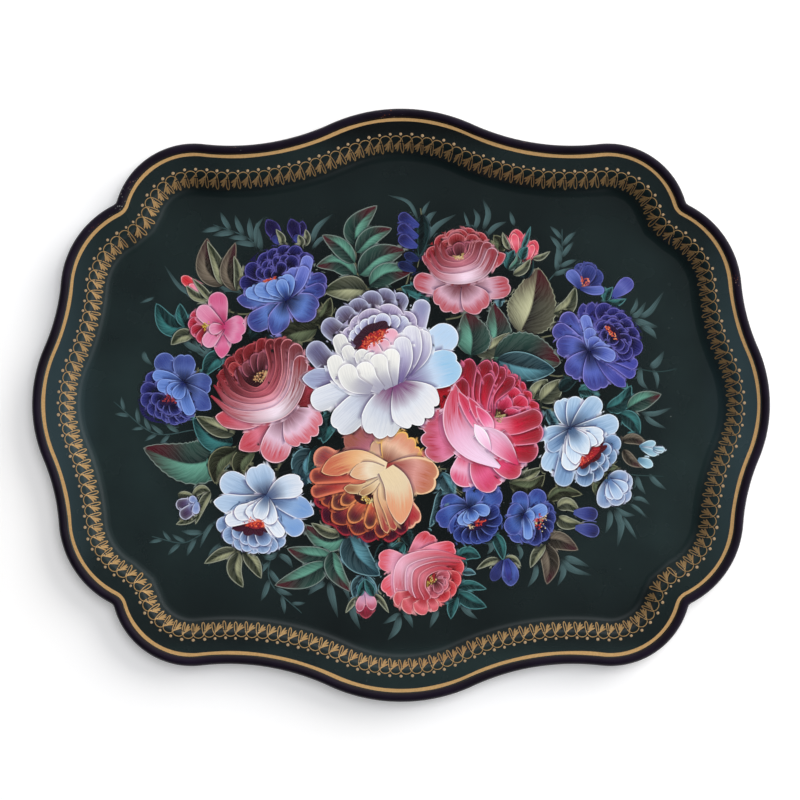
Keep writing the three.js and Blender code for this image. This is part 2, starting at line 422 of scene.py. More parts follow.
def fine_pan():
    """The whole pressed sheet: both faces of the profile carried round the outline."""
    bends = sheet_profile(crease=3, foot=9, shoulder=9, edge=5, curl=26)
    places = [place for part in bends for place in part]
    enamel_from = sum(len(part) for part in bends[:4]) - 1
    under = [place - square * SHEET / 2 for place, square in places]
    upper = [place + square * SHEET / 2 for place, square in places]
    rows = under + upper[::-1]
    count = len(places)
    stations = walk(0, PAN_SPACING)
    around = len(stations)
    verts = []
    for row in rows:
        for edge, normal, centre, radius in stations:
            spot = edge + normal * row.x
            verts.append((spot.x, spot.y, row.y))
    faces, slots = [], []
    for row in range(len(rows) - 1):
        step = row if row < count else 2 * count - 2 - row
        slot = ON_EDGE if step >= enamel_from else BELOW if row < count else ON_TOP
        for column in range(around):
            here, beside = row * around + column, row * around + (column + 1) % around
            faces.append((here, beside, beside + around, here + around))
            slots.append(slot)
    faces.append(tuple(range(around))[::-1])
    slots.append(BELOW)
    top = (len(rows) - 1) * around
    faces.append(tuple(range(top, top + around)))
    slots.append(ON_TOP)
    piece = mesh_object("pan_lacquered", verts, faces, [LACQUER, ENAMEL, UNDERSIDE])
    piece.data.polygons.foreach_set("material_index", slots)
    curl_rows = count - enamel_from
    from_tip = [abs(index - count + 0.5) for index in range(len(rows))]
    roundness = [max(0.0, 1 - distance / curl_rows) for distance in from_tip]
    attribute = piece.data.attributes.new("round", "FLOAT", "POINT")
    attribute.data.foreach_set("value", [value for value in roundness for _ in range(around)])
    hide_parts("tray_pan")


fine_pan()
wire_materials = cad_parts["rim_wire"].data.materials
wire_materials.clear()
wire_materials.append(steel_material())


# ---------------------------------------------------------------- brush work
# Each stroke lies LAYER above the paint under it. The paint's height is kept for squares of CELL, and its
# colour for squares of DAB, so that a later stroke can shade what it lies on.
LAYER = 0.008
GROUND = SHEET + 0.02
CELL = 2.5
DAB = 1.8
painted_height = {}
painted_colour = {}


def lie_on(spots):
    """The height for a stroke over these spots: just above whatever is painted there already."""
    cells = {(round(spot[0] / CELL), round(spot[1] / CELL)) for spot in spots}
    height = max(painted_height.get(cell, GROUND) for cell in cells) + LAYER
    for cell in cells:
        painted_height[cell] = height
    return height


def ground_colour(spot):
    """About the lacquer's colour at a place in the well, with its painted shade towards the far side and in a
    band on the near side.
    """
    from_middle = math.hypot(spot[0] / BLACK_OVAL[0], spot[1] / BLACK_OVAL[1])
    out_of_oval = max(0.0, (from_middle - OVAL_FADES) / (OVAL_ENDS - OVAL_FADES))
    colour = blend(linear(OVAL_BLACK), linear("1a2727"), 1 - OVAL_SHARE + OVAL_SHARE * out_of_oval)
    # the same painted shade on the near and far sides as the lacquer has
    near = NEAR_SHADE_SHARE * min(1.0, max(0.0, (-90 - spot[1]) / 60))
    far = FAR_SHADE_SHARE * min(1.0, max(0.0, (spot[1] - 50) / 120))
    return blend(colour, linear(PAINTED_SHADE_TINT), near + far)


class Paint:
    """Brush strokes gathered into one piece. Each stroke is a thin sheet with colours at its points."""

    def __init__(self, name, slot, material, rng):
        self.name, self.slot, self.material, self.rng = name, slot, material, rng
        self.verts, self.faces, self.near, self.far, self.stroke = [], [], [], [], []

    def sheet(self, us, vs, place, colours, grain):
        """A grid over us by vs. place gives x, y and maybe z; colours gives the stroke's two paint colours;
        grain gives the place in the brush marks, across them and along them."""
        first = len(self.verts)
        seed = self.rng.random() * 50
        grid = [(u, v) for u in us for v in vs]
        spots = [place(u, v) for u, v in grid]
        if len(spots[0]) == 2:
            height = lie_on(spots)
            spots = [(x, y, height) for x, y in spots]
        shades = [colours(u, v) for u, v in grid]
        self.verts += spots
        for (u, v), spot, (near, far) in zip(grid, spots, shades):
            self.near.append(near)
            self.far.append(far)
            self.stroke.append((*grain(u, v), seed))
            if u <= 1 and abs(v) <= 1:
                painted_colour[round(spot[0] / DAB), round(spot[1] / DAB)] = near
        width = len(vs)
        for row in range(len(us) - 1):
            for column in range(width - 1):
                here = first + row * width + column
                self.faces.append((here, here + width, here + width + 1, here + 1))

    def finish(self):
        piece = mesh_object(self.name, self.verts, self.faces, [self.material])
        mesh = piece.data
        for name, colours in (("near", self.near), ("far", self.far)):
            attribute = mesh.attributes.new(name, "FLOAT_COLOR", "POINT")
            attribute.data.foreach_set("color", [c for colour in colours for c in (*colour, 1.0)])
        stroke = mesh.attributes.new("stroke", "FLOAT_VECTOR", "POINT")
        stroke.data.foreach_set("vector", [c for vector in self.stroke for c in vector])


# ---------------------------------------------------------------- the gold border
GOLD_LIGHT, GOLD_DEEP = linear("dcb47c"), linear("a47a42")
GOLD_LIFT = 0.04
LINE_INSET, LINE_WIDTH = 7.4, 2.2
KNOT_INSET = 20.3
KNOT_PITCH = 7.05
TIGHTEST = 12


def gold_strip(paint, path, half_width, columns=(-1, -0.4, 0.4, 1)):
    """A strip along a path, following the tray's face, half_width wide on each side. Each place on the path
    is x, y, inset and outward direction."""
    count = len(path)
    us = [i / (count - 1) for i in range(count)]
    sides = []
    for i in range(count):
        ahead, behind = path[min(i + 1, count - 1)], path[max(i - 1, 0)]
        along = Vector((ahead[0] - behind[0], ahead[1] - behind[1])).normalized()
        sides.append(Vector((-along.y, along.x)))

    def place(u, v):
        i = round(u * (count - 1))
        x, y, inset, out = path[i]
        side = sides[i] * (v * half_width(u))
        here = inset - side.dot(out)
        return (x + side.x, y + side.y, face_height(here) + GOLD_LIFT * (1 - 0.5 * abs(v)))

    tone = paint.rng.uniform(-0.1, 0.15)
    near = blend(GOLD_LIGHT, GOLD_DEEP, 0.15 + tone)
    far = blend(GOLD_LIGHT, GOLD_DEEP, 0.7 + tone)
    paint.sheet(us, list(columns), place, lambda u, v: (near, far), lambda u, v: (v, u * 10))


def border_place(station, along, depth):
    """A place near a knot: along runs anticlockwise, depth runs in towards the well. Round a notch the places
    are spread as on a circle of the TIGHTEST radius."""
    spot, normal, centre, radius = station
    reach = radius - KNOT_INSET
    reach = math.copysign(max(TIGHTEST, abs(reach)), reach)
    angle = math.atan2(normal.y, normal.x) + along / reach
    out = unit(angle)
    edge = centre + out * radius
    inset = KNOT_INSET + depth
    place = edge - out * inset
    return (place.x, place.y, inset, out)


def gold_line():
    """The solid gold line just inside the rolled edge, a little uneven as a hand draws it."""
    rng = random.Random(5)
    paint = Paint("gold_line", "gold_paint", GOLD_LINE, rng)
    stations = walk(LINE_INSET, 2.2)
    stations.append(stations[0])
    path = [(spot.x, spot.y, LINE_INSET, normal) for spot, normal, centre, radius in stations]
    phases = [rng.uniform(0, 6.28) for _ in range(3)]

    def half_width(u):
        waver = sum(math.sin(6.283 * u * turns + phase) for turns, phase in zip((9, 23, 41), phases))
        return LINE_WIDTH / 2 * (1 + 0.05 * waver)

    gold_strip(paint, path, half_width, (-1, -0.6, 0, 0.6, 1))
    paint.finish()


def arc_path(station, following, rng):
    """The bowed line from one knot to the next, bulging towards the edge."""
    bow = rng.uniform(2.0, 2.5)
    start, end = border_place(station, 0, 0), border_place(following, 0, 0)
    path = []
    for u in even(12):
        out = start[3].lerp(end[3], u).normalized()
        lift = bow * (4 * u * (1 - u)) ** 0.7
        spot = Vector(start[:2]).lerp(Vector(end[:2]), u) + out * lift
        path.append((spot.x, spot.y, KNOT_INSET - lift, out))
    return path


def loop_path(station, rng):
    """The narrow hanging loop at a knot, as one turn of the pen."""
    length, width, lean = rng.uniform(7.6, 8.4), rng.uniform(1.0, 1.3), rng.uniform(-1.3, -0.4)
    path = []
    for turn in (TURN * u for u in even(24)):
        depth = length * (1 - math.cos(turn)) / 2
        along = width * math.sin(turn) * (0.45 + 0.55 * depth / length) + lean * depth / length
        path.append(border_place(station, along, depth - 0.4))
    return path


LEAF_STROKES = ((5.0, 4.2, 0.62), (4.2, 5.9, 0.68), (2.9, 7.1, 0.62))  # along, depth and half width of each


def border():
    """Dots, bows, loops and leaf strokes all round the brim, in four runs."""
    rng = random.Random(11)
    stations = walk(KNOT_INSET, KNOT_PITCH)
    count = len(stations)
    run = count // 4
    for part in range(4):
        lines = Paint(f"border_lines_{part + 1}", "gold_paint", GOLD, rng)
        leaves = Paint(f"border_leaves_{part + 1}", "gold_paint", GOLD, rng)
        for index in range(part * run, (part + 1) * run):
            station, following = stations[index], stations[(index + 1) % count]
            gold_strip(lines, arc_path(station, following, rng), lambda u: 0.3 - 0.1 * abs(2 * u - 1))
            gold_strip(lines, loop_path(station, rng), lambda u: 0.22 + 0.1 * math.sin(math.pi * u))
            dot(lines, station)
            for along, depth, half_width in LEAF_STROKES:
                leaf_stroke(leaves, station, along, depth, half_width)
        lines.finish()
        leaves.finish()


def dot(paint, station):
    """A round dab of gold outside each knot."""
    rng = paint.rng
    radius = rng.uniform(0.85, 1.05)
    middle = Vector((rng.uniform(-0.3, 0.3), -3.2 + rng.uniform(-0.2, 0.2)))

    def place(u, v):
        along, depth = middle + unit(TURN * v) * (radius * u + 0.02)
        x, y, inset, _ = border_place(station, along, depth)
        return (x, y, face_height(inset) + GOLD_LIFT + 0.12 * (1 - u * u))

    near, far = blend(GOLD_LIGHT, (1, 1, 1), 0.15), GOLD_LIGHT
    paint.sheet([0.0, 0.6, 1.0], even(12), place, lambda u, v: (near, far), lambda u, v: (v, u))


def leaf_stroke(paint, station, along, depth, half_width):
    """One tapered dab: thin at the knot, round at its end."""
    end_along = along + paint.rng.uniform(-0.3, 0.3)
    end_depth = depth + paint.rng.uniform(-0.3, 0.3)
    path = []
    for u in even(8):
        sag = 0.5 * math.sin(math.pi * u)
        path.append(border_place(station, 0.6 + (end_along - 0.6) * u, 0.7 + (end_depth - 0.7) * u + sag))
    gold_strip(paint, path, lambda u: half_width * (0.12 + 1.05 * u**0.8 * (1 - u**6)) + 0.03)


gold_line()
border()


# ---------------------------------------------------------------- petals, wraps, hearts and leaves
RICHNESS = 1.12  # the power that makes every paint colour a little deeper


def tones(codes):
    """Four hex colours made a little deeper: a stroke's start, middle and end, and its edge line."""
    return [tuple(c**RICHNESS for c in linear(code)) for code in codes.split()]


def along_tones(colours, u):
    """The colour at a share u of the way from a stroke's start to its end."""
    first, middle, last, _ = colours
    return blend(first, middle, u / 0.5) if u < 0.5 else blend(middle, last, (u - 0.5) / 0.5)


def smooth(value, low, high):
    """0 below low and 1 above high, with a soft step between."""
    share = min(1.0, max(0.0, (value - low) / (high - low)))
    return share * share * (3 - 2 * share)


def darker(colour, share):
    return tuple(c * (1 - share) for c in colour)


EDGE_BLUR = 0.4  # over how many mm an edge line softens
FOOT_DEPTH = 1.3  # the power that keeps a petal's foot dark for longer
LOBE_CUT = 0.17  # how deep the cuts between lobes are
WIDEST = 0.68  # how far along a petal its full width is reached
SHADOW = (0.78, 0.84, 0.7)  # how much of the red, green and blue a shadow takes away
ON_GROUND = 0.25  # how strong a shadow is on bare lacquer
TIPS = {  # how round the tip is, how pointed, and where its lobes meet
    "round": (1.0, 0.0, ()),
    "oval": (1.25, 0.25, ()),
    "point": (0.75, 0.75, ()),
    "two": (0.85, 0.0, (0.12,)),
    "three": (0.85, 0.0, (-0.33, 0.42)),
    "frill": (0.8, 0.0, (-0.6, -0.1, 0.42)),
}


def shadow_on(spot, away, reach, depth=1.0):
    """The paint or bare ground at a place, darkened by a stroke lying away from it, within reach."""
    painted = painted_colour.get((round(spot[0] / DAB), round(spot[1] / DAB)))
    share = (1.0 if painted else ON_GROUND) * depth * (1 - smooth(away, 0.0, reach))
    return tuple(c * (1 - dark * share) for c, dark in zip(painted or ground_colour(spot), SHADOW))


def petal(paint, foot, tip, width, codes, bow=0.0, shape="round", shade=0.0, via=(), neck=0.3, rim=0.4,
          glow=0.22, halo=None, dim=1.0, hidden=0.0, waist=1.0):
    """A petal from its narrow foot to its broad tip, with a soft shadow on the paint round it.
    bow bends it to its left, or it runs via some places. shade darkens its left side, or its right if
    negative. neck is the foot's width as a share of the whole; waist, if under 1, narrows the tip. rim is the
    edge line's width and glow how strongly its colour spreads in. halo is the shadow's width and dim its
    strength. hidden is the share near the foot that other petals cover."""
    colours = tones(codes)
    way = Vector(tip) - Vector(foot)
    middle = Vector(foot) + way / 2 + Vector((-way.y, way.x)).normalized() * bow
    at = curve_through([foot, *(via or (middle,)), tip])
    length, half = curve_length(at), width / 2
    roundness, point, notches = TIPS[shape]
    ratio = half / length
    light, skew = paint.rng.uniform(-0.05, 0.05), paint.rng.uniform(-0.1, 0.1)
    halo = min(3.2, 0.9 + 0.11 * width) if halo is None else halo
    meets = (-1, *(notch + skew for notch in notches), 1)

    def reach(v):
        cut = min(0.8, roundness * ratio) * (1 - math.sqrt(max(0.0, 1 - v * v)))
        cut += point * ratio * abs(v) ** 1.3
        for low, high in zip(meets, meets[1:]):
            if notches and low < v <= high:
                cut += LOBE_CUT * ratio * ((2 * v - low - high) / (high - low)) ** 2
        return max(0.15, 1 - cut)

    def swell(far):
        taper = waist + (1 - waist) * math.sqrt(max(0.0, 1 - max(0.0, 2 * far - 1) ** 2))
        return (neck + (1 - neck) * math.sin(math.pi / 2 * min(1.0, far / WIDEST))) * taper

    def place(u, v):
        far = u * reach(v)
        spot, heading = at(far)
        spot = spot + Vector((-heading.y, heading.x)) * (v * half * swell(far))
        return (spot.x, spot.y)

    def colours_at(u, v):
        edge = min((1 - abs(v)) * half * swell(u), (1 - u) * length)
        if edge < -0.01:
            under = shadow_on(place(u, v), -edge, halo, dim)
            return under, under
        line = 0.8 * smooth(rim + EDGE_BLUR - edge, 0.0, EDGE_BLUR) if rim else 0.0
        soft = glow * math.exp(-max(0.0, edge - rim) / (0.09 * width + 0.4))
        side = 1 - abs(shade) * max(0.0, v * math.copysign(1, shade)) ** 1.5 + light
        seen = max(0.0, (u - hidden) / (1 - hidden))
        brushed = min(1.0, max(0.0, seen - 0.32 * math.cos(math.pi * seen)))
        share = smooth(u, 0.05, 0.45) * max(line, soft)
        bodies = (along_tones(colours, part**FOOT_DEPTH) for part in (seen, brushed))
        return tuple(blend(tuple(c * side for c in body), colours[3], share) for body in bodies)

    insets = (rim, rim + EDGE_BLUR, -0.15, -0.15 - halo / 2, -0.15 - halo)
    rows, columns = max(7, round(length / 1.6)), 2 * max(4, round(width / 2.2))
    us = set(even(rows)) | {1 - inset / length for inset in insets}
    vs = {math.sin(math.pi / 2 * (2 * t - 1)) for t in even(columns)}
    vs |= {sign * (1 - inset / half) for inset in insets for sign in (-1, 1)}
    vs |= {meet + step for meet in meets[1:-1] for step in (-0.08, 0.0, 0.08)}
    grain = lambda u, v: (v * half * 1.1, u * length * 0.06)
    paint.sheet(sorted(us), sorted(vs), place, colours_at, grain)


def petals(paint, about, rows, codes, root=0.0, **style):
    """Several petals round one point. A row is the tip's x and y, the width, and maybe bow, shape and shade.
    root is how far from that point to the tip the petal's foot lies."""
    for x, y, width, *rest in rows:
        foot = Vector(about).lerp(Vector((x, y)), root)
        own = dict(style)
        own.update(zip(("bow", "shape", "shade"), rest))
        petal(paint, foot, (x, y), width, codes, **own)


def sweeps(paint, rows, codes, **style):
    """Long petals which follow a curve. A row is the width and the places from foot to tip."""
    for width, foot, *via, tip in rows:
        petal(paint, foot, tip, width, codes, via=via, **style)


def layers(paint, rows_by_tones, **style):
    """Sweeps in several sets, each with its own tones."""
    for codes, rows in rows_by_tones:
        sweeps(paint, rows, codes, **style)


def curve_through(points):
    """A smooth curve through the points, as a function from 0 to 1 giving a place and a direction."""
    knots = [Vector(p) for p in points]
    knots = [knots[0] * 2 - knots[1]] + knots + [knots[-1] * 2 - knots[-2]]
    spans = len(knots) - 3

    def at(u):
        index = max(0, min(spans - 1, int(u * spans)))
        t = u * spans - index
        a, b, c, d = knots[index : index + 4]
        slope, curve, twist = c - a, a * 2 - b * 5 + c * 4 - d, b * 3 - a - c * 3 + d
        spot = b + slope * (t / 2) + curve * (t * t / 2) + twist * (t**3 / 2)
        heading = slope / 2 + curve * t + twist * (1.5 * t * t)
        return spot, heading.normalized()

    return at


def curve_length(at, steps=12):
    """About how long such a curve is."""
    spots = [at(u)[0] for u in even(steps)]
    return sum((b - a).length for a, b in zip(spots, spots[1:]))


def blade(paint, spine, width, colours_at, peak=0.5, ends=(0.0, 0.0), full=0.8, grain=None, edges=(0.6,),
          teeth=0, halo=0.0):
    """A long stroke on a curve, widest at peak, maybe with a soft shadow on the paint beside it.
    colours_at takes u, v and the distance in from the edge."""
    at = curve_through(spine)
    length, half = curve_length(at), width / 2
    power = math.log(0.5) / math.log(peak)

    def swell(u):
        least = ends[0] + (ends[1] - ends[0]) * u
        tooth = 1.06 if teeth and round(u * 2 * teeth) % 2 else 1.0
        return tooth * (least + (1 - least) * max(0.0, math.sin(math.pi * u**power)) ** full)

    def place(u, v):
        spot, heading = at(u)
        spot = spot + Vector((-heading.y, heading.x)) * (v * half * swell(u))
        return (spot.x, spot.y)

    def tinted(u, v):
        edge = (1 - abs(v)) * half * swell(u)
        if abs(v) < 1.001:
            return colours_at(u, v, edge)
        under = shadow_on(place(u, v), -edge, halo)
        return under, under

    us = even(2 * teeth if teeth else max(8, round(length / 1.6)))
    vs = {2 * t - 1 for t in even(2 * max(1, round(width / 3)))} | {-1, 0, 1}
    insets = [inset for edge in edges for inset in (edge, edge + EDGE_BLUR) if inset < half]
    insets += [-0.2, -0.2 - halo / 2, -0.2 - halo] if halo else []
    vs |= {sign * (1 - inset / half) for inset in insets for sign in (-1, 1)}
    grain = grain or (lambda u, v: (v * half * 1.1, u * length * 0.06))
    paint.sheet(us, sorted(vs), place, tinted, grain)


def in_oval(middle, size, turn, angle, reach):
    """A place in a turned oval: reach is 0 at its middle and 1 at its edge."""
    lean = math.radians(turn)
    x, y = reach * size[0] / 2 * math.cos(angle), reach * size[1] / 2 * math.sin(angle)
    return (middle[0] + x * math.cos(lean) - y * math.sin(lean),
            middle[1] + x * math.sin(lean) + y * math.cos(lean))


def pool(paint, middle, size, turn, inside, outside, scallops=0, depth=0.14):
    """An oval of paint, maybe with a scalloped edge, shading from the inside colour to the outside one."""

    def place(u, v):
        angle = TURN * v
        reach = u * (1 - depth + depth * 2 * abs(math.sin(scallops * angle / 2)) if scallops else u)
        return in_oval(middle, size, turn, angle, reach)

    inner, outer = linear(inside), linear(outside)
    rings = [0.001, 0.2, 0.4, 0.6, 0.75, 0.9, 1.0]
    around = even(max(24, 8 * scallops))
    paint.sheet(rings, around, place, lambda u, v: (blend(inner, outer, u), blend(inner, outer, u * 0.7)),
                lambda u, v: (v * 40, u * 0.5))


def stamens(paint, middle, size, turn, count, codes, dab=0.55):
    """Small dabs scattered in an oval, each a hair above the last."""
    rng = paint.rng
    shades = [linear(code) for code in codes.split()]
    spots = []
    for _ in range(count):
        angle, reach = rng.uniform(0, TURN), math.sqrt(rng.uniform(0, 1))
        spots.append(in_oval(middle, size, turn, angle, reach))
    height = lie_on(spots)
    for x, y in spots:
        radius = dab * rng.uniform(0.7, 1.25)
        shade = rng.choice(shades)
        height += LAYER * 0.1

        def place(u, v):
            angle = TURN * v
            reach = radius * u + 0.01
            return (x + reach * math.cos(angle), y + reach * math.sin(angle), height + 0.05 * (1 - u))

        paint.sheet([0, 1], even(7), place, lambda u, v: (shade, darker(shade, 0.25)), lambda u, v: (u, v))


LEAF_TONES = {  # the dark half, the light half, the tip and the edge line
    "teal": "081a1c 448a8a 122e30 60989a",
    "blue": "0a1c24 6ca6b4 1c3e4a 88b0b8",
    "wine": "0c2424 74b09c 521424 8c9c94",
    "olive": "14180f 748062 1e2018 8c8e70",
    "cream": "1c261e babc98 28321e a8ac98",
    "rose": "181614 8c8070 48202c 948c7c",
    "autumn": "1a1218 cccca8 4c1420 a4a890",
    "deep": "061012 1e3c3e 0c1e20 345456",
}


def leaf(paint, kind, width, *spine, light=1, teeth=0):
    """A leaf from foot to tip: one half dark, one lit along its vein, a tinted tip and a thin edge."""
    dark, pale, end, line = tones(LEAF_TONES[kind])
    at = curve_through(spine)
    length, half = curve_length(at), width / 2

    def colours_at(u, v, edge):
        glow = math.sin(math.pi * min(1.0, u * 0.9 + 0.08))
        lit = v * light > 0
        share = 0.05 + 0.95 * glow**1.5 * (1 - abs(v)) ** 0.9 if lit else 0.15 * glow * abs(v)
        body = blend(blend(dark, pale, share), end, smooth(u, 0.5, 0.95) * (0.55 if lit else 1.0))
        rim = smooth(0.3 + EDGE_BLUR - edge, 0.0, EDGE_BLUR) * smooth(u, 0.0, 0.2) * 0.8
        streak = blend(body, pale if lit else line, (0.7 if lit else 0.25) * glow)
        return blend(body, line, rim), blend(streak, line, rim)

    blade(paint, spine, width, colours_at, peak=0.42, full=0.75, teeth=teeth, edges=(0.3,), halo=1.2,
          grain=lambda u, v: (u * length * 0.5 - abs(v) * half * 0.55, v * half * 0.08))


def stem(paint, width, *spine, codes="2c342c 7c7c60"):
    """A thin stalk, lighter in its middle, tapering to its end."""
    dark, pale = tones(codes)
    blade(paint, spine, width, lambda u, v, edge: (blend(pale, dark, abs(v)), blend(pale, dark, 0.5)),
          ends=(0.9, 0.35), full=0.3, edges=())


def frond(paint, width, *spine, pale="4a6668"):
    """One blade of grass, fading into the ground at its tip."""
    field, tint = ground_colour(spine[-1]), linear(pale)

    def colours_at(u, v, edge):
        body = blend(field, tint, smooth(u, 0.0, 0.3) * (1 - 0.8 * smooth(u, 0.55, 1.0)) * (0.75 + 0.25 * v))
        return body, blend(body, field, 0.3)

    blade(paint, spine, width, colours_at, peak=0.4, edges=())


def sprig(paint, count, size, *spine, pale="4a6668"):
    """A thin stalk with small blades on both sides, shorter towards its end."""
    rng = paint.rng
    at = curve_through(spine)
    stem(paint, 0.9, *spine, codes="1e2e2e " + pale)
    for index in range(count):
        u = 0.2 + 0.75 * (index + rng.uniform(-0.3, 0.3)) / count
        spot, heading = at(u)
        turn = math.radians(rng.uniform(28, 46)) * (1 if index % 2 else -1)
        way = Vector((heading.x * math.cos(turn) - heading.y * math.sin(turn),
                      heading.x * math.sin(turn) + heading.y * math.cos(turn)))
        reach = 1.15 * size * rng.uniform(0.8, 1.1) * (1 - 0.35 * u)
        middle = spot + way * reach * 0.5 + heading * reach * 0.06
        frond(paint, reach * 0.24, spot, middle, spot + way * reach, pale=pale)


TOOTHED_FROM = 19  # leaves wider than this have a toothed edge


def greenery(name, rng):
    return Paint(name, "leaf_paint", LEAF_PAINT, rng)


def flower(name, rng):
    return Paint(name, "flower_paint", PETAL_PAINT, rng)


def leaf_group(name, seed, leaves, stems=()):
    """A piece of leaves, listed as kind, width and the places they run through. A minus before the kind puts
    the light half on the right. Stems are listed as width and places."""
    rng = random.Random(seed)
    paint = greenery(name, rng)
    for width, *spine in stems:
        stem(paint, width, *spine)
    for kind, width, *spine in leaves:
        light = -1 if kind.startswith("-") else 1
        teeth = 14 if width > TOOTHED_FROM else 0
        leaf(paint, kind.lstrip("-"), width, *spine, light=light, teeth=teeth)
    paint.finish()


def spray(name, rng, sprigs, blades, stalks=()):
    """A piece of grass. A sprig is listed as its count of blades, its size and the places it runs through, a
    single blade as its width and places, and a bare stalk as its places."""
    paint = greenery(name, rng)
    for count, size, *spine in sprigs:
        sprig(paint, count, size, *spine)
    for width, *spine in blades:
        frond(paint, width, *spine)
    for spine in stalks:
        stem(paint, 0.8, *spine, codes="1e2e2e 3c5858")
    paint.finish()


def grass():
    """The thin sprays round the bouquet, which fade into the dark ground."""
    rng = random.Random(41)
    spray("grass_top", rng, [(8, 17, (-88, 98), (-103, 112), (-126, 121))], [
        (4, (55, 117), (58.5, 128), (55, 138)), (3.5, (49, 117), (51.5, 125), (48.5, 132)),
        (2, (46, 118), (42, 130)), (3.5, (57, 113), (63, 119.5), (71, 123)),
        (4, (16, 109), (24, 120), (37, 128)), (4, (16, 119), (19, 126), (24, 130)),
        (2.5, (14.5, 127), (16, 132), (19.5, 137)), (2.5, (12, 123), (5, 136), (-9, 141)),
        (4, (-60, 108), (-56, 119), (-46, 128)), (3, (-60, 104), (-54, 111), (-46, 114)),
        (3, (-97, 104), (-97, 118), (-92, 126)), (3, (76, 120), (73, 130)), (2.5, (-20, 108), (-24, 96)),
    ])
    spray("grass_right", rng, [(8, 15, (98, 82), (107, 95), (108, 118))], [
        (3, (153, 60), (157, 66), (158, 72)), (4, (154, 59), (159, 61), (164, 69)),
        (4, (159, 58), (167, 63), (176, 76)), (5, (156, 57), (163, 54), (172, 52)),
        (4, (160, 53), (167, 49), (171, 44)), (4, (160, 26), (160, 16), (165, 10)),
        (3, (168, 24), (171, 18), (171, 10)), (5, (166, 25), (171, 28), (176, 36)),
        (3.5, (162, -7), (168, -12), (177, -16)), (3.5, (160, -6), (170, -6), (181, -2)),
        (3.5, (157, -47), (159, -54), (163, -60)), (3.5, (165, -46), (170, -52), (177, -57)),
        (4, (139, -70), (139, -78), (136, -86)), (5, (142, -70), (146.5, -80), (144, -95)),
        (3.5, (143, -69), (149, -73), (156, -74)), (3, (154, -63), (160, -63), (166, -67)),
        (2.5, (152, -66), (158, -70), (164, -76)), (3, (147, -74), (152, -82), (157, -90)),
    ], [((140, -37), (150, -46), (175, -48)), ((158, 24), (172, 22), (185, 24))])
    spray("grass_bottom", rng, [
        (6, 15, (-86, -97), (-87, -118), (-66, -139)), (6, 13, (-124, -80), (-144, -92), (-166, -88)),
    ], [
        (5, (-48, -118), (-46, -128), (-42, -142)), (5, (-50, -119), (-56, -121), (-62, -127)),
        (4, (-46, -114), (-38, -121), (-34, -131)), (4, (0, -139), (-5, -142), (-12, -146)),
        (5, (-1, -140), (-3, -149), (-9, -157)), (4, (1, -139), (5, -142), (8, -149)),
        (4, (25, -136), (22, -142), (19, -149)), (4, (39, -131), (44, -138), (51, -143)),
        (5, (-30, -126), (-32, -138), (-27, -150)), (4, (90, -106), (89, -114), (84, -122)),
        (4, (106, -104), (108, -112), (104, -121)), (4.5, (106, -103), (114, -110), (127, -114)),
        (5, (108, -102), (115, -104), (125, -108)), (3, (77, -93), (80, -99), (78, -105)),
        (3, (58, -90), (60, -96), (57, -100)), (4, (-70, -98), (-66, -102), (-62, -106)),
        (4, (-82, -100), (-76, -103), (-72, -109)), (3.5, (-92, -102), (-86, -102), (-82, -99)),
    ])
    spray("grass_left", rng, [(9, 12, (-138, -17), (-165, -19), (-192, 2))], [
        (3, (-132, 71), (-147, 78), (-159, 94)), (4, (-140, 44), (-132, 34), (-112, 32)),
        (3.5, (-172, 36), (-171, 31), (-166, 26)), (4, (-147, 43), (-139, 38), (-132, 34)),
        (3, (-125, 32), (-130, 37), (-130, 42)), (2, (-165, 72), (-175, 68)),
        (5, (-123, 77), (-113, 78), (-106, 74)), (3, (-125, -78), (-130, -86), (-134, -96)),
        (4, (-120, -92), (-126, -100), (-128, -108)),
    ])


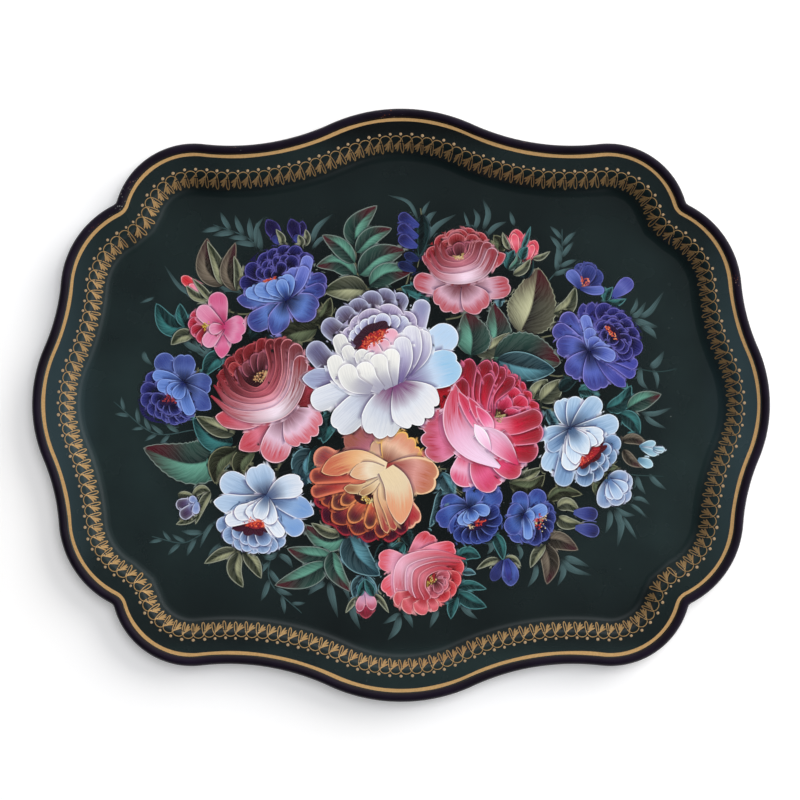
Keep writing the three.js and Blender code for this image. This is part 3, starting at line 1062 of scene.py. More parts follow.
def leaves():
    """The leaves between and behind the flowers."""
    leaf_group("leaves_left", 51, (
        ("deep", 12, (-101, 43), (-92, 49), (-82, 49)), ("wine", 28, (-112, -30), (-140, -39), (-172, -29)),
        ("teal", 17, (-112, -26), (-126, -22), (-139, -9)),
        ("-cream", 11, (-111, -20), (-124, -15), (-137, -8)),
        ("olive", 13, (-110, -30), (-122, -38), (-124, -53)),
        ("olive", 12, (-98, -30), (-107, -38), (-107, -50)),
        ("teal", 14, (-143, 51), (-156, 54), (-164, 68)), ("teal", 8, (-144, 52), (-147, 60), (-148, 68)),
        ("cream", 9, (-139, 47), (-147, 46), (-154, 40)), ("teal", 12, (-118, 33), (-126, 29), (-132, 19)),
        ("olive", 16, (-56, 51), (-70, 49), (-82, 44)), ("olive", 10, (-59, 54), (-51, 61), (-47, 72)),
        ("rose", 15, (-119, 80), (-130, 92), (-130, 112)), ("cream", 9, (-119, 80), (-122, 92), (-130, 110)),
        ("rose", 11, (-110, 76), (-116, 90), (-111, 109)),
        ("-cream", 6, (-110, 76), (-109, 88), (-112, 100)), ("teal", 12, (-45, -4), (-49, -14), (-52, -26)),
        ("blue", 15, (-59, -30), (-66, -40), (-62, -53)), ("teal", 12, (-53, -28), (-56, -36), (-62, -46)),
    ), (
        (1.3, (-57, 50.5), (-64, 53), (-72, 60)), (1.3, (-98, 61), (-110, 61), (-122, 66)),
        (1.4, (-104, 31), (-124, 29), (-138, 20)), (1.4, (-76, -32), (-83, -45), (-90, -60)),
        (1.0, (-62, 66), (-55, 56), (-50, 50)), (1.2, (-110, -28), (-116, -30), (-124, -35)),
    ))
    leaf_group("leaves_top", 52, (
        ("-wine", 13, (-30, 86), (-42, 95), (-57, 93)), ("-wine", 12, (-31, 95), (-41, 106), (-53, 114)),
        ("-wine", 15, (-31, 107), (-30, 120), (-16, 134)), ("-wine", 12, (-30, 102), (-20, 113), (-6, 118.5)),
        ("-wine", 17, (-28, 87), (-15, 99), (3, 104)), ("wine", 15, (-21, 80), (-9, 88), (7, 89)),
        ("cream", 17, (-23, 77), (-36, 78), (-52, 76)), ("teal", 9, (20, 72), (10, 76), (0, 79)),
        ("deep", 8, (14, 128), (15, 115), (12, 98)), ("olive", 9, (64, 101), (66, 108), (62, 114)),
    ), (
        (1.4, (-22, 77), (-31, 92), (-30, 112)), (1.2, (-3, 77), (3, 80), (6, 90)),
        (1.1, (13, 132), (15, 116), (11, 92)),
    ))
    leaf_group("leaves_right", 53, (
        ("wine", 20, (50, 34), (64, 46), (62, 68)), ("cream", 12, (50, 34), (62, 38), (72, 48)),
        ("wine", 23, (47, 33), (48, 46), (43, 62)), ("autumn", 32, (80, 48), (88, 66), (92, 92)),
        ("-wine", 30, (62, 32), (84, 33), (107, 28)), ("-blue", 19, (64, 30), (84, 25), (103, 23)),
        ("cream", 11, (88, 3), (92, 10), (98, 17)), ("cream", 13, (93, 2), (101, 9), (107, 17)),
        ("cream", 10, (102, 61), (112, 66), (117, 79)), ("blue", 5, (66, 65), (66, 70), (69, 75)),
        ("-cream", 8, (72, -52), (84, -48), (94, -42)), ("olive", 11, (72, -53), (86, -56), (96, -47)),
        ("teal", 11, (137, -3), (147, 1), (154, 13)), ("wine", 12, (151, -3), (162, 3), (174, 7)),
        ("teal", 11, (146, -6), (154, -11), (159, -21)), ("rose", 7, (147, -24), (156, -23), (165, -28)),
        ("rose", 7, (148, -30), (153, -37), (160, -42)), ("olive", 8, (131, -61), (132, -53), (138, -45)),
        ("olive", 8, (136, -48), (141, -44), (148, -47)), ("deep", 8, (106, 9), (111, 14), (118, 17)),
        ("teal", 8, (118, 9), (125, 9), (131, 5)), ("blue", 7, (97, -3), (101, -10), (104, -16)),
        ("deep", 8, (83, 84), (85, 93), (88, 99)),
    ), (
        (1.2, (98, 20), (106, 19), (114, 22)), (1.3, (94, 45), (103, 47), (110, 51)),
        (1.3, (91, -1), (99, -3), (105, -7)), (1.3, (30, 57), (41, 60), (46, 70)),
        (1.2, (16, -32), (28, -50), (46, -62)), (1.1, (20, -42), (28, -43), (32, -43)),
    ))
    leaf_group("leaves_bottom", 54, (
        ("blue", 10, (26, -45), (31, -54), (36, -62)), ("blue", 9, (27, -57), (26, -68), (19, -82)),
        ("deep", 8, (1, -82), (4, -88), (6, -95)), ("wine", 14, (-35, -88), (-50, -91), (-66, -80)),
        ("-cream", 7, (-40, -87), (-50, -85), (-60, -79)),
        ("-wine", 13, (-45, -102), (-60, -101), (-76, -96)),
        ("-wine", 15, (-48, -106), (-64, -115), (-84, -120.5)),
        ("blue", 19, (-35, -87), (-29, -102), (-14, -114)),
        ("wine", 12, (-46, -98), (-44, -111), (-33, -125)),
        ("cream", 8, (-110, -97), (-120, -100), (-131, -106)),
        ("cream", 10, (-108, -98), (-111, -110), (-105, -122)),
        ("cream", 9, (-105, -98), (-98, -106), (-93, -116)),
        ("cream", 5, (-149, -60), (-143, -60.5), (-137, -62)),
        ("cream", 6, (-139, -61), (-133, -56.5), (-127, -58)),
        ("cream", 6, (-127, -58), (-132, -66), (-137, -80)),
        ("-cream", 5, (-136, -75), (-143, -77.5), (-150, -80)),
        ("olive", 9, (98, -64), (107, -58.5), (121, -60)),
        ("cream", 9, (104, -69), (111, -66.5), (119, -72)), ("cream", 9, (104, -75), (110, -79), (121, -80)),
        ("rose", 12, (97, -90), (106, -91), (118, -97)), ("-rose", 12, (96, -93), (99.5, -106), (97, -120)),
        ("cream", 7, (96, -93), (90, -100), (86, -109)), ("teal", 8, (62, -86), (66, -94), (68, -104)),
        ("cream", 4.5, (69, -102), (75, -103), (80, -108)), ("cream", 5, (65, -103), (58, -105), (50, -110)),
        ("teal", 9, (37, -102), (45, -99), (53, -102)), ("blue", 5, (40, -112), (45, -111.5), (50, -113)),
        ("teal", 7, (36, -122), (46, -120.5), (57, -123)), ("teal", 10, (37, -125), (46, -131), (57, -135)),
        ("teal", 7, (37, -127), (34, -135), (33, -143)), ("blue", 7, (-26, -114), (-30, -121), (-31, -130)),
        ("blue", 7, (-24, -114), (-20, -121), (-16, -127)),
        ("cream", 4, (-29, -128), (-33, -133), (-37, -139)),
        ("cream", 4, (-18, -126), (-13, -131), (-8, -139)), ("teal", 9, (2, -92), (-3, -98), (-10, -101)),
        ("deep", 9, (-8, -92), (-12, -98), (-18, -104)),
    ), (
        (1.5, (-34, -86), (-42, -100), (-53, -108)), (1.4, (-3, -84), (-1, -92), (3, -98)),
        (1.0, (-38, -98), (-36, -92), (-34, -88)),
    ))


def buds():
    """Half open buds and small bells on their stalks."""
    rng = random.Random(61)
    paint = flower("buds_top", rng)
    navy, violet = "100c2c 1e1648 141034 5c54a0", "2c2c70 3c4890 20205c 6c6cb0"
    for foot, tip, width in (((-80, 108), (-90, 124.5), 10), ((-68, 109), (-66, 123.5), 7),
            ((-69, 109), (-74, 125), 9)):
        petal(paint, foot, tip, width, navy, 0, "point")
    for foot, tip, width in (((-80, 108), (-86, 113), 6), ((-68, 109), (-71, 114), 6)):
        petal(paint, foot, tip, width, violet, 0, "round", rim=0)
    bell = "3c4890 2c3478 1c1848 5c60a8"
    for (x, y), reach in (((12, 120), 13), ((11.5, 112.5), 13), ((11, 106), 12)):
        petal(paint, (x, y), (x - reach, y + reach * 0.62), 8, bell, 1, "round")
    for (x, y), reach in (((12, 97), 10), ((10, 90), 12)):
        petal(paint, (x, y), (x - reach, y + reach * 0.4), 6.5, "1c2858 1e2650 14163c 344478", 0, "oval",
                rim=0.4)
    red = "b02c40 e0506c c83048 f4a0a8"
    for foot, tip, width in (((78, 102), (77, 118), 11), ((85, 96.5), (90, 110.5), 9)):
        petal(paint, foot, tip, width, red, 0, "oval")
        petal(paint, foot, Vector(tip) + Vector((-1.5, -3)), width * 0.5, "c8304c e8788c e05068 f8b0b4", 0,
                "oval")
    blue = "44509c 6870b8 444898 8080c8"
    petal(paint, (142, 72.5), (154.5, 84), 10, blue, 0, "round")
    paint.finish()

    paint = flower("buds_low", rng)
    petal(paint, (-133, 74.5), (-147, 86), 7, "d8a0a8 d03040 c81c2c f8a8b0", 0, "oval")
    petal(paint, (-134, 76), (-142, 80.5), 4, "e8a0b0 f090a4 e87890 f8c0c8", 0, "oval")
    pale = "8c98c0 544068 3c2440 d4d8ec"
    petals(paint, (-136, -65), [(-150, -67.5, 8, 0), (-147, -75, 8, 1)], pale)
    petals(paint, (-136, -65), [(-141, -62, 5), (-137, -73, 5)], "8ca0c8 7c8cbc 9cacd4 c8d0e8")
    for foot, tip in (((115, -72), (131, -73.5)), ((116, -82), (132, -85))):
        petal(paint, foot, tip, 9, "4c5898 343c80 20204c 7078b8", 0, "round")
    petal(paint, (68, -104), (60.5, -117.5), 8, "283060 303874 282c60 4c5490", 0, "oval")
    petal(paint, (70, -103), (73, -121), 12, "384488 5068b0 343c80 7884c4", 1, "oval")
    petal(paint, (70, -104), (72, -117), 4, "2c3078 3c4898 342c74 5c68b4", 0, "oval", rim=0)
    petal(paint, (-23, -125), (-23.5, -142.5), 12, "b890b0 a83050 6c1424 c46070", 0, "oval")
    petals(paint, (-23, -125), [(-28, -138, 6, -1), (-19, -137, 7, 1)], "c0a0bc d89cb4 b03c58 ecb0c0",
            shape="oval")
    petal(paint, (14, -38), (16.5, -33), 4, "8c2c20 c85040 d87860 e89080", 0, "oval")
    pale_blue = "5c88a0 8cb4c8 a4c8d8 d8ecf2"
    for foot, tip, width in (((159, -28), (170, -25.5), 5), ((160, -29), (171, -33.5), 5),
            ((168, -30), (175.5, -31), 4), ((158, -36.5), (168, -41), 7), ((168, -29), (176, -30), 3)):
        petal(paint, foot, tip, width, pale_blue, 0, "oval")
    paint.finish()

    sepals = greenery("bud_sepals", rng)
    for kind, width, *spine in (
            ("cream", 5, (-80, 107), (-80, 112), (-84, 118)),
            ("cream", 5, (-65, 106), (-63, 112), (-64, 118)),
            ("cream", 5, (-67, 106), (-67, 110), (-69, 114)),
            ("cream", 6, (-128, 70), (-138, 73), (-144, 80)),
            ("cream", 5, (-127, 70), (-132, 76), (-140, 85)), ("teal", 7, (71, 91), (73, 98), (76, 104)),
            ("wine", 5, (72, 90), (78, 96), (79, 104)), ("cream", 6, (75, 87), (82, 91), (87, 98)),
            ("teal", 3.5, (81, 104), (84, 111), (87, 120)), ("cream", 4, (73, 104), (70, 109), (68, 116)),
            ("cream", 4, (88, 98), (94, 99), (100, 103)), ("teal", 6, (81, 97), (82, 102), (85, 106)),
            ("teal", 6, (137, 69), (138, 74), (142, 79)), ("teal", 5, (138, 69), (144, 68), (151, 71)),
            ("teal", 5, (-28, -128), (-26, -122), (-24, -116)),
            ("teal", 6, (-18, -128), (-21, -122), (-24, -116))):
        leaf(sepals, kind, width, *spine)
    sepals.finish()


# ---------------------------------------------------------------- the flowers


def white_peony():
    """The big ivory peony in the middle: lilac guard petals, a domed cup and broad lower petals."""
    rng = random.Random(21)
    foot, heart = (-3.7, 12.6), (-17, 42)
    guard_tones = "3c2e44 584a60 6c6a90 dce2f6"
    guard = flower("white_peony_guard", rng)
    petals(guard, (4, 18), [(36, 51, 20, 2)], "70608c d4e2f4 bcd8f2 fbfdff")
    petals(guard, (2, 24), [(15, 70.5, 12, -1)], "5c4a74 a49cbe 8f93b8 eef2fc", glow=0.5, hidden=0.3)
    petals(guard, heart, [(2, 74.5, 12, 0), (-9.5, 78, 15, 0), (-20.5, 76.5, 15, 0), (-31, 71, 15, 1),
            (-41, 65, 14, 2), (-52, 56, 14, 4)], guard_tones, root=0.25, glow=0.5, hidden=0.35)
    petals(guard, (-32, 17), [(-61, 41, 15, 3)], guard_tones, glow=0.55)
    petals(guard, (-20, 13), [(-66, 17.5, 15, -1, "point")], "6a4a78 8a84a8 a8b2d0 eef2fc")
    guard.finish()

    skirt = flower("white_peony_skirt", rng)
    petal(skirt, (0, 14), (40, 27.5), 25, "7a5a94 cddff4 9cccec fbfdff", 1, "two", neck=0.2)
    petals(skirt, foot, [(-60, 1, 16, -3.5), (-44, -17, 20, -3, "two")], "6c3a74 ced5e4 e2e6ee ffffff",
            shade=0.3)
    petals(skirt, foot, [(-16, -22.5, 27, -1.5, "three")], "803c74 d4dae6 e4e7ec ffffff", shade=0.2)
    petal(skirt, (-3, 14.5), (18, -11), 37, "7a3c74 dee2ea e8e8ea ffffff", 0, "frill", neck=0.15)
    skirt.finish()

    cup = flower("white_peony_cup", rng)
    pool(cup, (-16, 37), (60, 54), 6, "8d86a8", "a09ab8")
    mauve = "5c4470 85789e b4a8c8 f6f2fa"
    petals(cup, heart, [(14.5, 47, 15, -3), (9, 60, 15, -1), (-39, 49, 14, 2), (-31, 59, 15, 1),
            (-5, 67, 21, -1), (-19.5, 64.5, 20, 1)], mauve, root=0.1, hidden=0.5, glow=0.3)
    inner = "8078a0 a8a8ca cdd2e6 f8fafd"
    petals(cup, heart, [(-34, 48.5, 8, 1), (-30, 53, 7, 1), (-25.5, 57, 9), (-18, 60, 9), (4, 58, 10, -1),
            (-2, 59, 9), (-10.5, 61, 11)], inner, root=0.15, hidden=0.5)
    pool(cup, (-19.5, 46.5), (27, 14), 32, "2a1420", "3a1c2c", 6, 0.06)
    pool(cup, (-17, 43.5), (22, 10), 32, "b01c20", "781420")
    stamens(cup, (-18, 44), (21, 9), 32, 110, "cc2c26 dc4830 ac1c20 e87244", 0.5)
    pink = "c8b8d4 e8c4d4 eaa8bc fdeaf0"
    petals(cup, (-8, 22), [(-5.5, 51, 9, 1), (-12.5, 44, 9), (-20.5, 41, 8)], pink, root=0.3)
    ivory = "8884a0 c2c2cc ecebe6 ffffff"
    petals(cup, (-16, 12), [(-42.5, 47, 10, 4), (-37, 39.5, 9, 3), (-27.5, 37, 10, 1), (-20.5, 35, 9, 1)],
            ivory, root=0.25, shade=0.2, dim=0.7)
    side = "7c6ca0 c0bcd8 e6e6ef ffffff"
    sweeps(cup, [(12, (5, 20), (14, 35), (13.5, 50)), (12, (2, 18), (8, 36), (6, 53)),
            (12, (-1, 15), (2, 30), (0, 45.5))], side, dim=0.7, shade=-0.15)
    white = "acaabc e4e4e2 f4f3ee ffffff"
    sweeps(cup, [(12, (-5, 13), (-7, 25), (-6, 37.5)), (12, (-8, 11), (-14, 22), (-15, 34)),
            (11, (-26, 10), (-40, 18), (-45.5, 33)), (13, (-13, 9.5), (-22, 17), (-25.5, 28.5)),
            (13, (-20, 9.5), (-33, 15), (-37, 27))], white, dim=0.55, glow=0.15, neck=0.45)
    cup.finish()


def pink_rose_left():
    """The big rose on the left, dark behind its heart and pale pink in front."""
    rng = random.Random(22)
    heart = (-95, 18)
    back = flower("left_rose_back", rng)
    deep = "4a1218 741a20 7c2028 c86067"
    petals(back, (-76, -2), [(-60, 24, 17, 0), (-56, 9, 17, 0)], "5e1a20 842830 a03c4b a8444f", rim=0)
    pool(back, (-94, 14), (54, 50), 12, "5e161c", "6a181e")
    petals(back, heart, [(-123, 13, 8, 1), (-122, 20.5, 8, 1), (-117, 30, 11, 1), (-109, 37, 12),
            (-100, 41, 15), (-92.5, 44.5, 8)], deep, root=0.1, glow=0.15, hidden=0.4)
    petals(back, heart, [(-114.5, 27, 8, 2)], "561319 7c2028 903036 cc6869", root=0.1)
    petals(back, (-95, 14), [(-109.5, 24, 7, 3), (-103, 29, 8, 2), (-97, 34.5, 9), (-91, 36, 8)],
            "2a1018 5c2830 7c4048 b86c7d", root=0.25, glow=0.2)
    pool(back, (-96, 17), (17, 10), 28, "1e0c10", "36141a")
    stamens(back, (-94.5, 19), (10, 5), 38, 40, "c89a68 d8b080 a06a48", 0.5)
    back.finish()

    skirt = flower("left_rose_skirt", rng)
    side_pink = "a03443 dc8093 c03c4b f8c4cf"
    petals(skirt, (-84, -6), [(-108, -30, 16, 3, "point"), (-124, -8, 12, 4, "point")], side_pink, shade=0.3)
    open_pink = "845060 e8c8db cc4453 fadce7"
    petals(skirt, (-78, -5), [(-87, -38.5, 20, 1)], open_pink, neck=0.2)
    petals(skirt, (-76, -4), [(-58, -23, 32, 0, "frill")], open_pink, neck=0.15)
    skirt.finish()

    front = flower("left_rose_wraps", rng)
    style = {"shade": -0.5, "neck": 0.12, "dim": 0.65, "rim": 0.3, "glow": 0.1}
    layers(front, (
        ("5c1c22 c06473 5c1018 cc7077", [
            (9, (-110, 25), (-105, 13), (-96, 8), (-88, 13), (-84, 26), (-88, 44)),
            (10, (-119, 27), (-111, 11), (-99, 4), (-86, 8), (-79, 24), (-81, 45)),
        ]),
        ("8c2830 e8a4b3 681018 e4949b", [
            (10, (-123, 20), (-113, 6), (-99, 0), (-83, 4), (-75, 20), (-76, 44)),
        ]),
        ("9c2c3b fad4e3 741820 f0acb7", [
            (10, (-125, 13), (-114, 1), (-98, -4), (-81, 0), (-72, 16), (-70, 41)),
        ]),
        ("b03c4b fff0fb 8c2028 f6c8d3", [
            (10, (-127, 6), (-113, -5), (-97, -8.5), (-80, -4), (-70, 10), (-66.5, 33)),
        ]),
    ), **style)
    front.finish()


def crimson_rose():
    """The crimson rose on the right: its cup opens to the upper right, over wavy lower petals."""
    rng = random.Random(23)
    heart = (65, -9)
    back = flower("crimson_rose_back", rng)
    red = "6a0c18 9c001a b00824 f07a9a"
    petals(back, (42, -10), [(27, 17, 20, 0), (30, 4, 16, 0)], "6a0a14 a0041c ac0822 b40c2a", rim=0)
    pool(back, (64, -5), (48, 52), 40, "7c0c1c", "941224")
    petals(back, heart, [(82, 15, 12, 0, "oval"), (87, 8, 11, 0, "oval"), (92, 0, 12, -1, "oval"),
            (94, -6, 10, -1, "oval"), (77, 19, 13, 1, "oval"), (70, 25, 13, 1, "oval")], red, root=0.1,
            hidden=0.4)
    bright = "7c1020 b0082e cc244c f698b6"
    petals(back, heart, [(77.5, 11, 14, 0), (83.5, 4.5, 11, -1), (86, -4.5, 11, -1, "oval")], bright,
            root=0.1, hidden=0.3)
    petals(back, heart, [(72, 5, 12, 0, "oval"), (78.5, -4, 14, -2, "oval")], "4a0c1c a8143e d03c66 f498b6",
            root=0.05)
    pool(back, (65, -8), (10, 10), 0, "24080e", "4a0c18")
    stamens(back, (65, -8.5), (8, 5), -60, 34, "a89a60 c8ba80 6a5a3a", 0.5)
    back.finish()

    skirt = flower("crimson_rose_skirt", rng)
    petal(skirt, (43, -22), (13, -20), 38, "b00c36 e480a6 b80c36 fdd8ea", 0, "frill", neck=0.25)
    petal(skirt, (43, -30), (41, -55), 20, "d83a6a f0b8d2 d83a6e fdd8ea", 1, "round", neck=0.2)
    petal(skirt, (50, -32), (64, -56.5), 20, "b80c36 e46894 d03462 fdd8ea", -2, "two")
    petal(skirt, (58, -28), (81, -45), 18, "d02852 e04c7a b80c36 fbd0e2", -2, "two")
    skirt.finish()

    front = flower("crimson_rose_wraps", rng)
    sweeps(front, [(17, (55, -22), (72, -29), (91.5, -31)), (15, (55, -18), (74, -20), (95, -18)),
            (13, (56, -13), (74, -14), (94, -7))], "f498b6 cc1842 980e20 f6a4be", shade=0.45, neck=0.5)
    upright = "dc4872 c40c36 7c0818 f080a2"
    sweeps(front, [(12, (60, -8), (60, 6), (76, 18)), (12, (59, -10), (57, 8), (69, 25)),
            (11, (58, -12), (55, 8), (63, 28.5)), (12, (57, -14), (52, 6), (58, 30)),
            (9, (56, -14), (54, 2), (60, 21)), (12, (55, -16), (47, 4), (49, 25)),
            (12, (54, -18), (43, 6), (46, 31)), (10, (53, -22), (42, -2), (40.5, 18))], upright, shade=-0.4,
            neck=0.4, shape="oval")
    blush = {"shape": "oval", "waist": 0.0, "dim": 0.7, "neck": 0.1}
    sweeps(front, [(21, (66, -42), (47, -29), (38, -12), (36, 14))], "f8dcf2 efb8d4 c80c42 fddcee",
            shade=-0.3, **blush)
    sweeps(front, [(9, (60, -26), (50, -11), (38, 9)), (8, (61, -22), (55, -11), (45, 5))],
            "fddcee f0709a c80c3e f8b4ce", shade=-0.3, **blush)
    sweeps(front, [(8, (61, -20), (58, -12), (50, -1))], "f8cce2 f080aa d02c5e fbc8de", **blush)
    sweeps(front, [(15, (78, -40), (67, -28), (53, -15))], "d8386a f0a8c6 f4c8e2 fddcee", shade=-0.3, **blush)
    sweeps(front, [(8, (60, -31), (55, -23), (49, -13))], "f0b8d6 f8d4ea fbdef2 ffffff", **blush)
    front.finish()


def orange_peony():
    """The orange and cream peony below the middle, facing down to the left."""
    rng = random.Random(24)
    foot = (-9.6, -42)
    skirt = flower("orange_peony_skirt", rng)
    petals(skirt, (-30, -42), [(-57.5, -32, 16, 2)], "d07f6a c0574a 6c2440 f0a386", glow=0.6, rim=1.2)
    petals(skirt, foot, [(-36, -18, 20, -1)], "dca7ac b06b7a 9c5b4a b87f76", glow=0.2)
    petals(skirt, foot, [(-5, -15, 15, 0)], "a05b3a d8b352 dcbb4a e8cb62")
    petals(skirt, foot, [(-17, -24, 11, 0)], "a8534a dcb39e cfa38a e4c79a")
    petals(skirt, foot, [(6, -20, 30, 0, "frill")], "843830 ecc3aa dc937a f4c76a", neck=0.15, rim=1.0)
    petals(skirt, foot, [(24.5, -52, 25, 1, "two")], "a03b3a e0a39a c06b4a fbdbb2", neck=0.2, rim=1.3)
    petals(skirt, (-5, -50), [(10, -81, 17, -3, "two")], "d87b6a c0434a ac1732 fbcbaa", rim=1.0)
    skirt.finish()

    cup = flower("orange_peony_cup", rng)
    pool(cup, (-29, -63), (62, 50), -35, "4a141c", "641c24")
    style = {"rim": 1.2, "glow": 0.25, "hidden": 0.25, "shape": "oval", "shade": 0.5, "neck": 0.5}
    layers(cup, (
        ("6c2030 501428 30102a b03342", [
            (15, (-26, -58), (-42, -62), (-58, -65)), (16, (-24, -62), (-42, -71), (-52, -78)),
            (18, (-20, -64), (-34, -77), (-39, -87)), (20, (-18, -64), (-20, -78), (-23, -92)),
            (16, (-14, -64), (-8, -78), (-8, -92)), (10, (-10, -60), (-1, -74), (0, -87)),
        ]),
        ("b0473a 682034 38142c d46f46", [
            (13, (-28, -56), (-42, -60), (-53, -66)), (16, (-24, -62), (-36, -71), (-46, -78)),
            (16, (-18, -64), (-26, -76), (-31, -87)), (11, (-14, -62), (-12, -76), (-14, -89)),
        ]),
        ("c85f46 702434 38142c ec9b62", [
            (14, (-24, -58), (-35, -61), (-46, -69)), (12, (-20, -62), (-28, -70), (-34, -79)),
            (9, (-17, -62), (-19, -72), (-22, -83)), (10, (-26, -59), (-33, -61), (-40, -67)),
        ]),
    ), **style)
    pool(cup, (-25, -62), (13, 9), -20, "1a0a10", "3a1418")
    stamens(cup, (-23, -64), (7, 5), -20, 34, "e0c070 c89a48 f0dc98", 0.5)
    cup.finish()

    front = flower("orange_peony_front", rng)
    sweeps(front, [(9, (-18, -53), (-40, -54), (-60, -59)), (11, (-16, -49), (-38, -47), (-61, -48))],
            "d8836a b03b3a 5c1c2c e88766", rim=1.2, glow=0.5, neck=0.25)
    strips = "ecd7b2 d8a37e a42b3a ecc392"
    sweeps(front, [(6, (-13, -48), (-16, -60), (-13, -72), (-9, -86)), (6, (-12, -48), (-13, -60), (-8, -72),
            (-4, -84))], strips, shape="point")
    sweeps(front, [(6, (-14, -48), (-26, -56), (-38, -56)), (5, (-14, -50), (-20, -56), (-28, -60))],
            "ecd7b6 d0ab82 a06b4a ecd3a6", shape="point")
    sweeps(front, [(14, (-10, -42), (-30, -37), (-53, -45))], "f2ddba e8b382 c8674e f4cfa2", shape="point",
            neck=0.5, rim=0.3)
    sweeps(front, [(12, (-11, -44), (-22, -44), (-34, -47))], "e8d3b2 efdfc6 e0af86 f6e3c6", shape="point",
            neck=0.4, rim=0.3)
    sweeps(front, [(18, (-10, -43), (-2, -56), (0, -80))], "ecd7b2 e8d3b2 e49b72 f6e3c6", shape="point",
            neck=0.6, rim=0.3)
    front.finish()


def top_rose():
    """The coral rose at the top, opening upwards."""
    rng = random.Random(25)
    heart = (39, 99)
    skirt = flower("top_rose_skirt", rng)
    coral = "793b46 d9b1c3 b42e3d e4bcc7"
    petals(skirt, (48, 84), [(70, 101, 10, 2, "point")], "a23b44 c36069 a92532 e0a9b2")
    petals(skirt, (30, 86), [(14, 99.5, 9, -2, "point")], "a23b44 c76e7b b12e39 e0a9b2")
    petals(skirt, (44, 80), [(73.5, 80, 15, -2, "two")], coral, neck=0.2)
    petals(skirt, (38, 80), [(14, 78, 7, 1), (8.5, 84, 13, 2)], coral, neck=0.2)
    petal(skirt, (38, 80), (27, 63), 24, coral, 0, "three", neck=0.2)
    petal(skirt, (42, 80.5), (55, 62.5), 20, coral, 0, "two", neck=0.15)
    skirt.finish()
    cup = flower("top_rose_cup", rng)
    pool(cup, (39, 99), (44, 37), 0, "6c161c", "8c1c22")
    back = "551116 811c21 9e212e d98c91"
    petals(cup, heart, [(17.5, 104, 11, 3), (61, 107, 13, -3), (24.5, 113, 12, 1), (56, 114.5, 12, -1),
            (33, 117, 10), (47, 118.5, 12), (39, 118, 13)], back, root=0.1, hidden=0.4, glow=0.15)
    petals(cup, heart, [(28, 110, 10, 1), (50, 114, 10, -1), (36.5, 115, 12)], back, root=0.1, hidden=0.4,
            glow=0.25)
    petals(cup, (39, 96), [(46, 109.5, 9, -1), (32, 105.5, 8, 1), (39, 109, 9)],
            "37121a 632832 813f4a bf6e7f", root=0.2)
    stamens(cup, (39, 98.5), (7, 3), 0, 24, "c8a868 a8804c e0c890", 0.45)
    style = {"shade": -0.45, "neck": 0.12, "dim": 0.6, "rim": 0.25, "glow": 0.12}
    layers(cup, (
        ("81252c ca7d8e 721a21 d59099", [
            (7, (27, 109), (30, 99), (39, 95.5), (47, 100), (50, 110)),
            (8, (23, 108), (27, 96), (39, 92), (50, 98), (54, 110)),
        ]),
        ("972c3d ddb1c1 812128 e0a9b6", [(8, (19, 104), (26, 91), (40, 88.5), (53, 94), (59, 109))]),
        ("a63444 fae2f2 932132 e7c3d0", [(8, (15, 100), (25, 87), (40, 84.5), (55, 90), (62.5, 105))]),
    ), **style)
    cup.finish()


def blue_cup(paint, about, rows, codes, **style):
    petals(paint, about, rows, codes, root=0.1, glow=0.12, hidden=0.45, **style)


NAVY = "0e0a28 1a1648 222468 706cb8"
SKY = "1c2864 5478c0 7c9cd8 9cb8ec"


def blue_peony_top():
    """The deep blue peony at the top left."""
    rng = random.Random(26)
    foot, heart = (-76.5, 71), (-82, 86)
    skirt = flower("top_blue_skirt", rng)
    blue = "10163c 6484c8 2c3480 9c98dc"
    petals(skirt, foot, [(-50, 85, 11, 2), (-51, 78.5, 10, -1)], "24306c 4c64b0 28286c 8480c8")
    petals(skirt, foot, [(-110, 71, 10, 2, "point"), (-102, 53, 15, 2), (-85.5, 46.5, 15, 0, "point"),
            (-56, 61, 21, 0, "two")], blue, neck=0.2, shade=0.3)
    skirt.finish()
    cup = flower("top_blue_cup", rng)
    pool(cup, (-83, 88), (44, 36), 10, "120e2c", "181444")
    blue_cup(cup, heart, [(-108, 82.5, 10, 3), (-104, 93, 11, 2), (-94, 101, 12), (-85.5, 105, 11),
            (-77, 107, 11), (-68, 106, 10), (-61, 101, 10, -2)], NAVY)
    blue_cup(cup, heart, [(-97, 90, 8, 1), (-92.5, 95.5, 8), (-87.5, 96.5, 8), (-82.5, 100, 8),
            (-76, 100.5, 8), (-70, 99, 9)], NAVY)
    blue_cup(cup, heart, [(-92, 89, 8), (-85, 90, 9), (-79, 95.5, 8)], NAVY)
    stamens(cup, (-88, 84), (9, 4), 20, 16, "d85a3c e87850 b83c2c", 0.6)
    violet = "202060 5060b0 7480cc 9ca4e4"
    petals(cup, foot, [(-62, 100, 8, -3), (-71.5, 92, 9, -1), (-64, 93, 8, -2)], violet)
    petals(cup, foot, [(-104, 76, 8, 1), (-98, 78, 10, -1), (-90, 80, 11, -2), (-76, 87.5, 10, 0),
            (-81, 84, 8)], SKY)
    cup.finish()


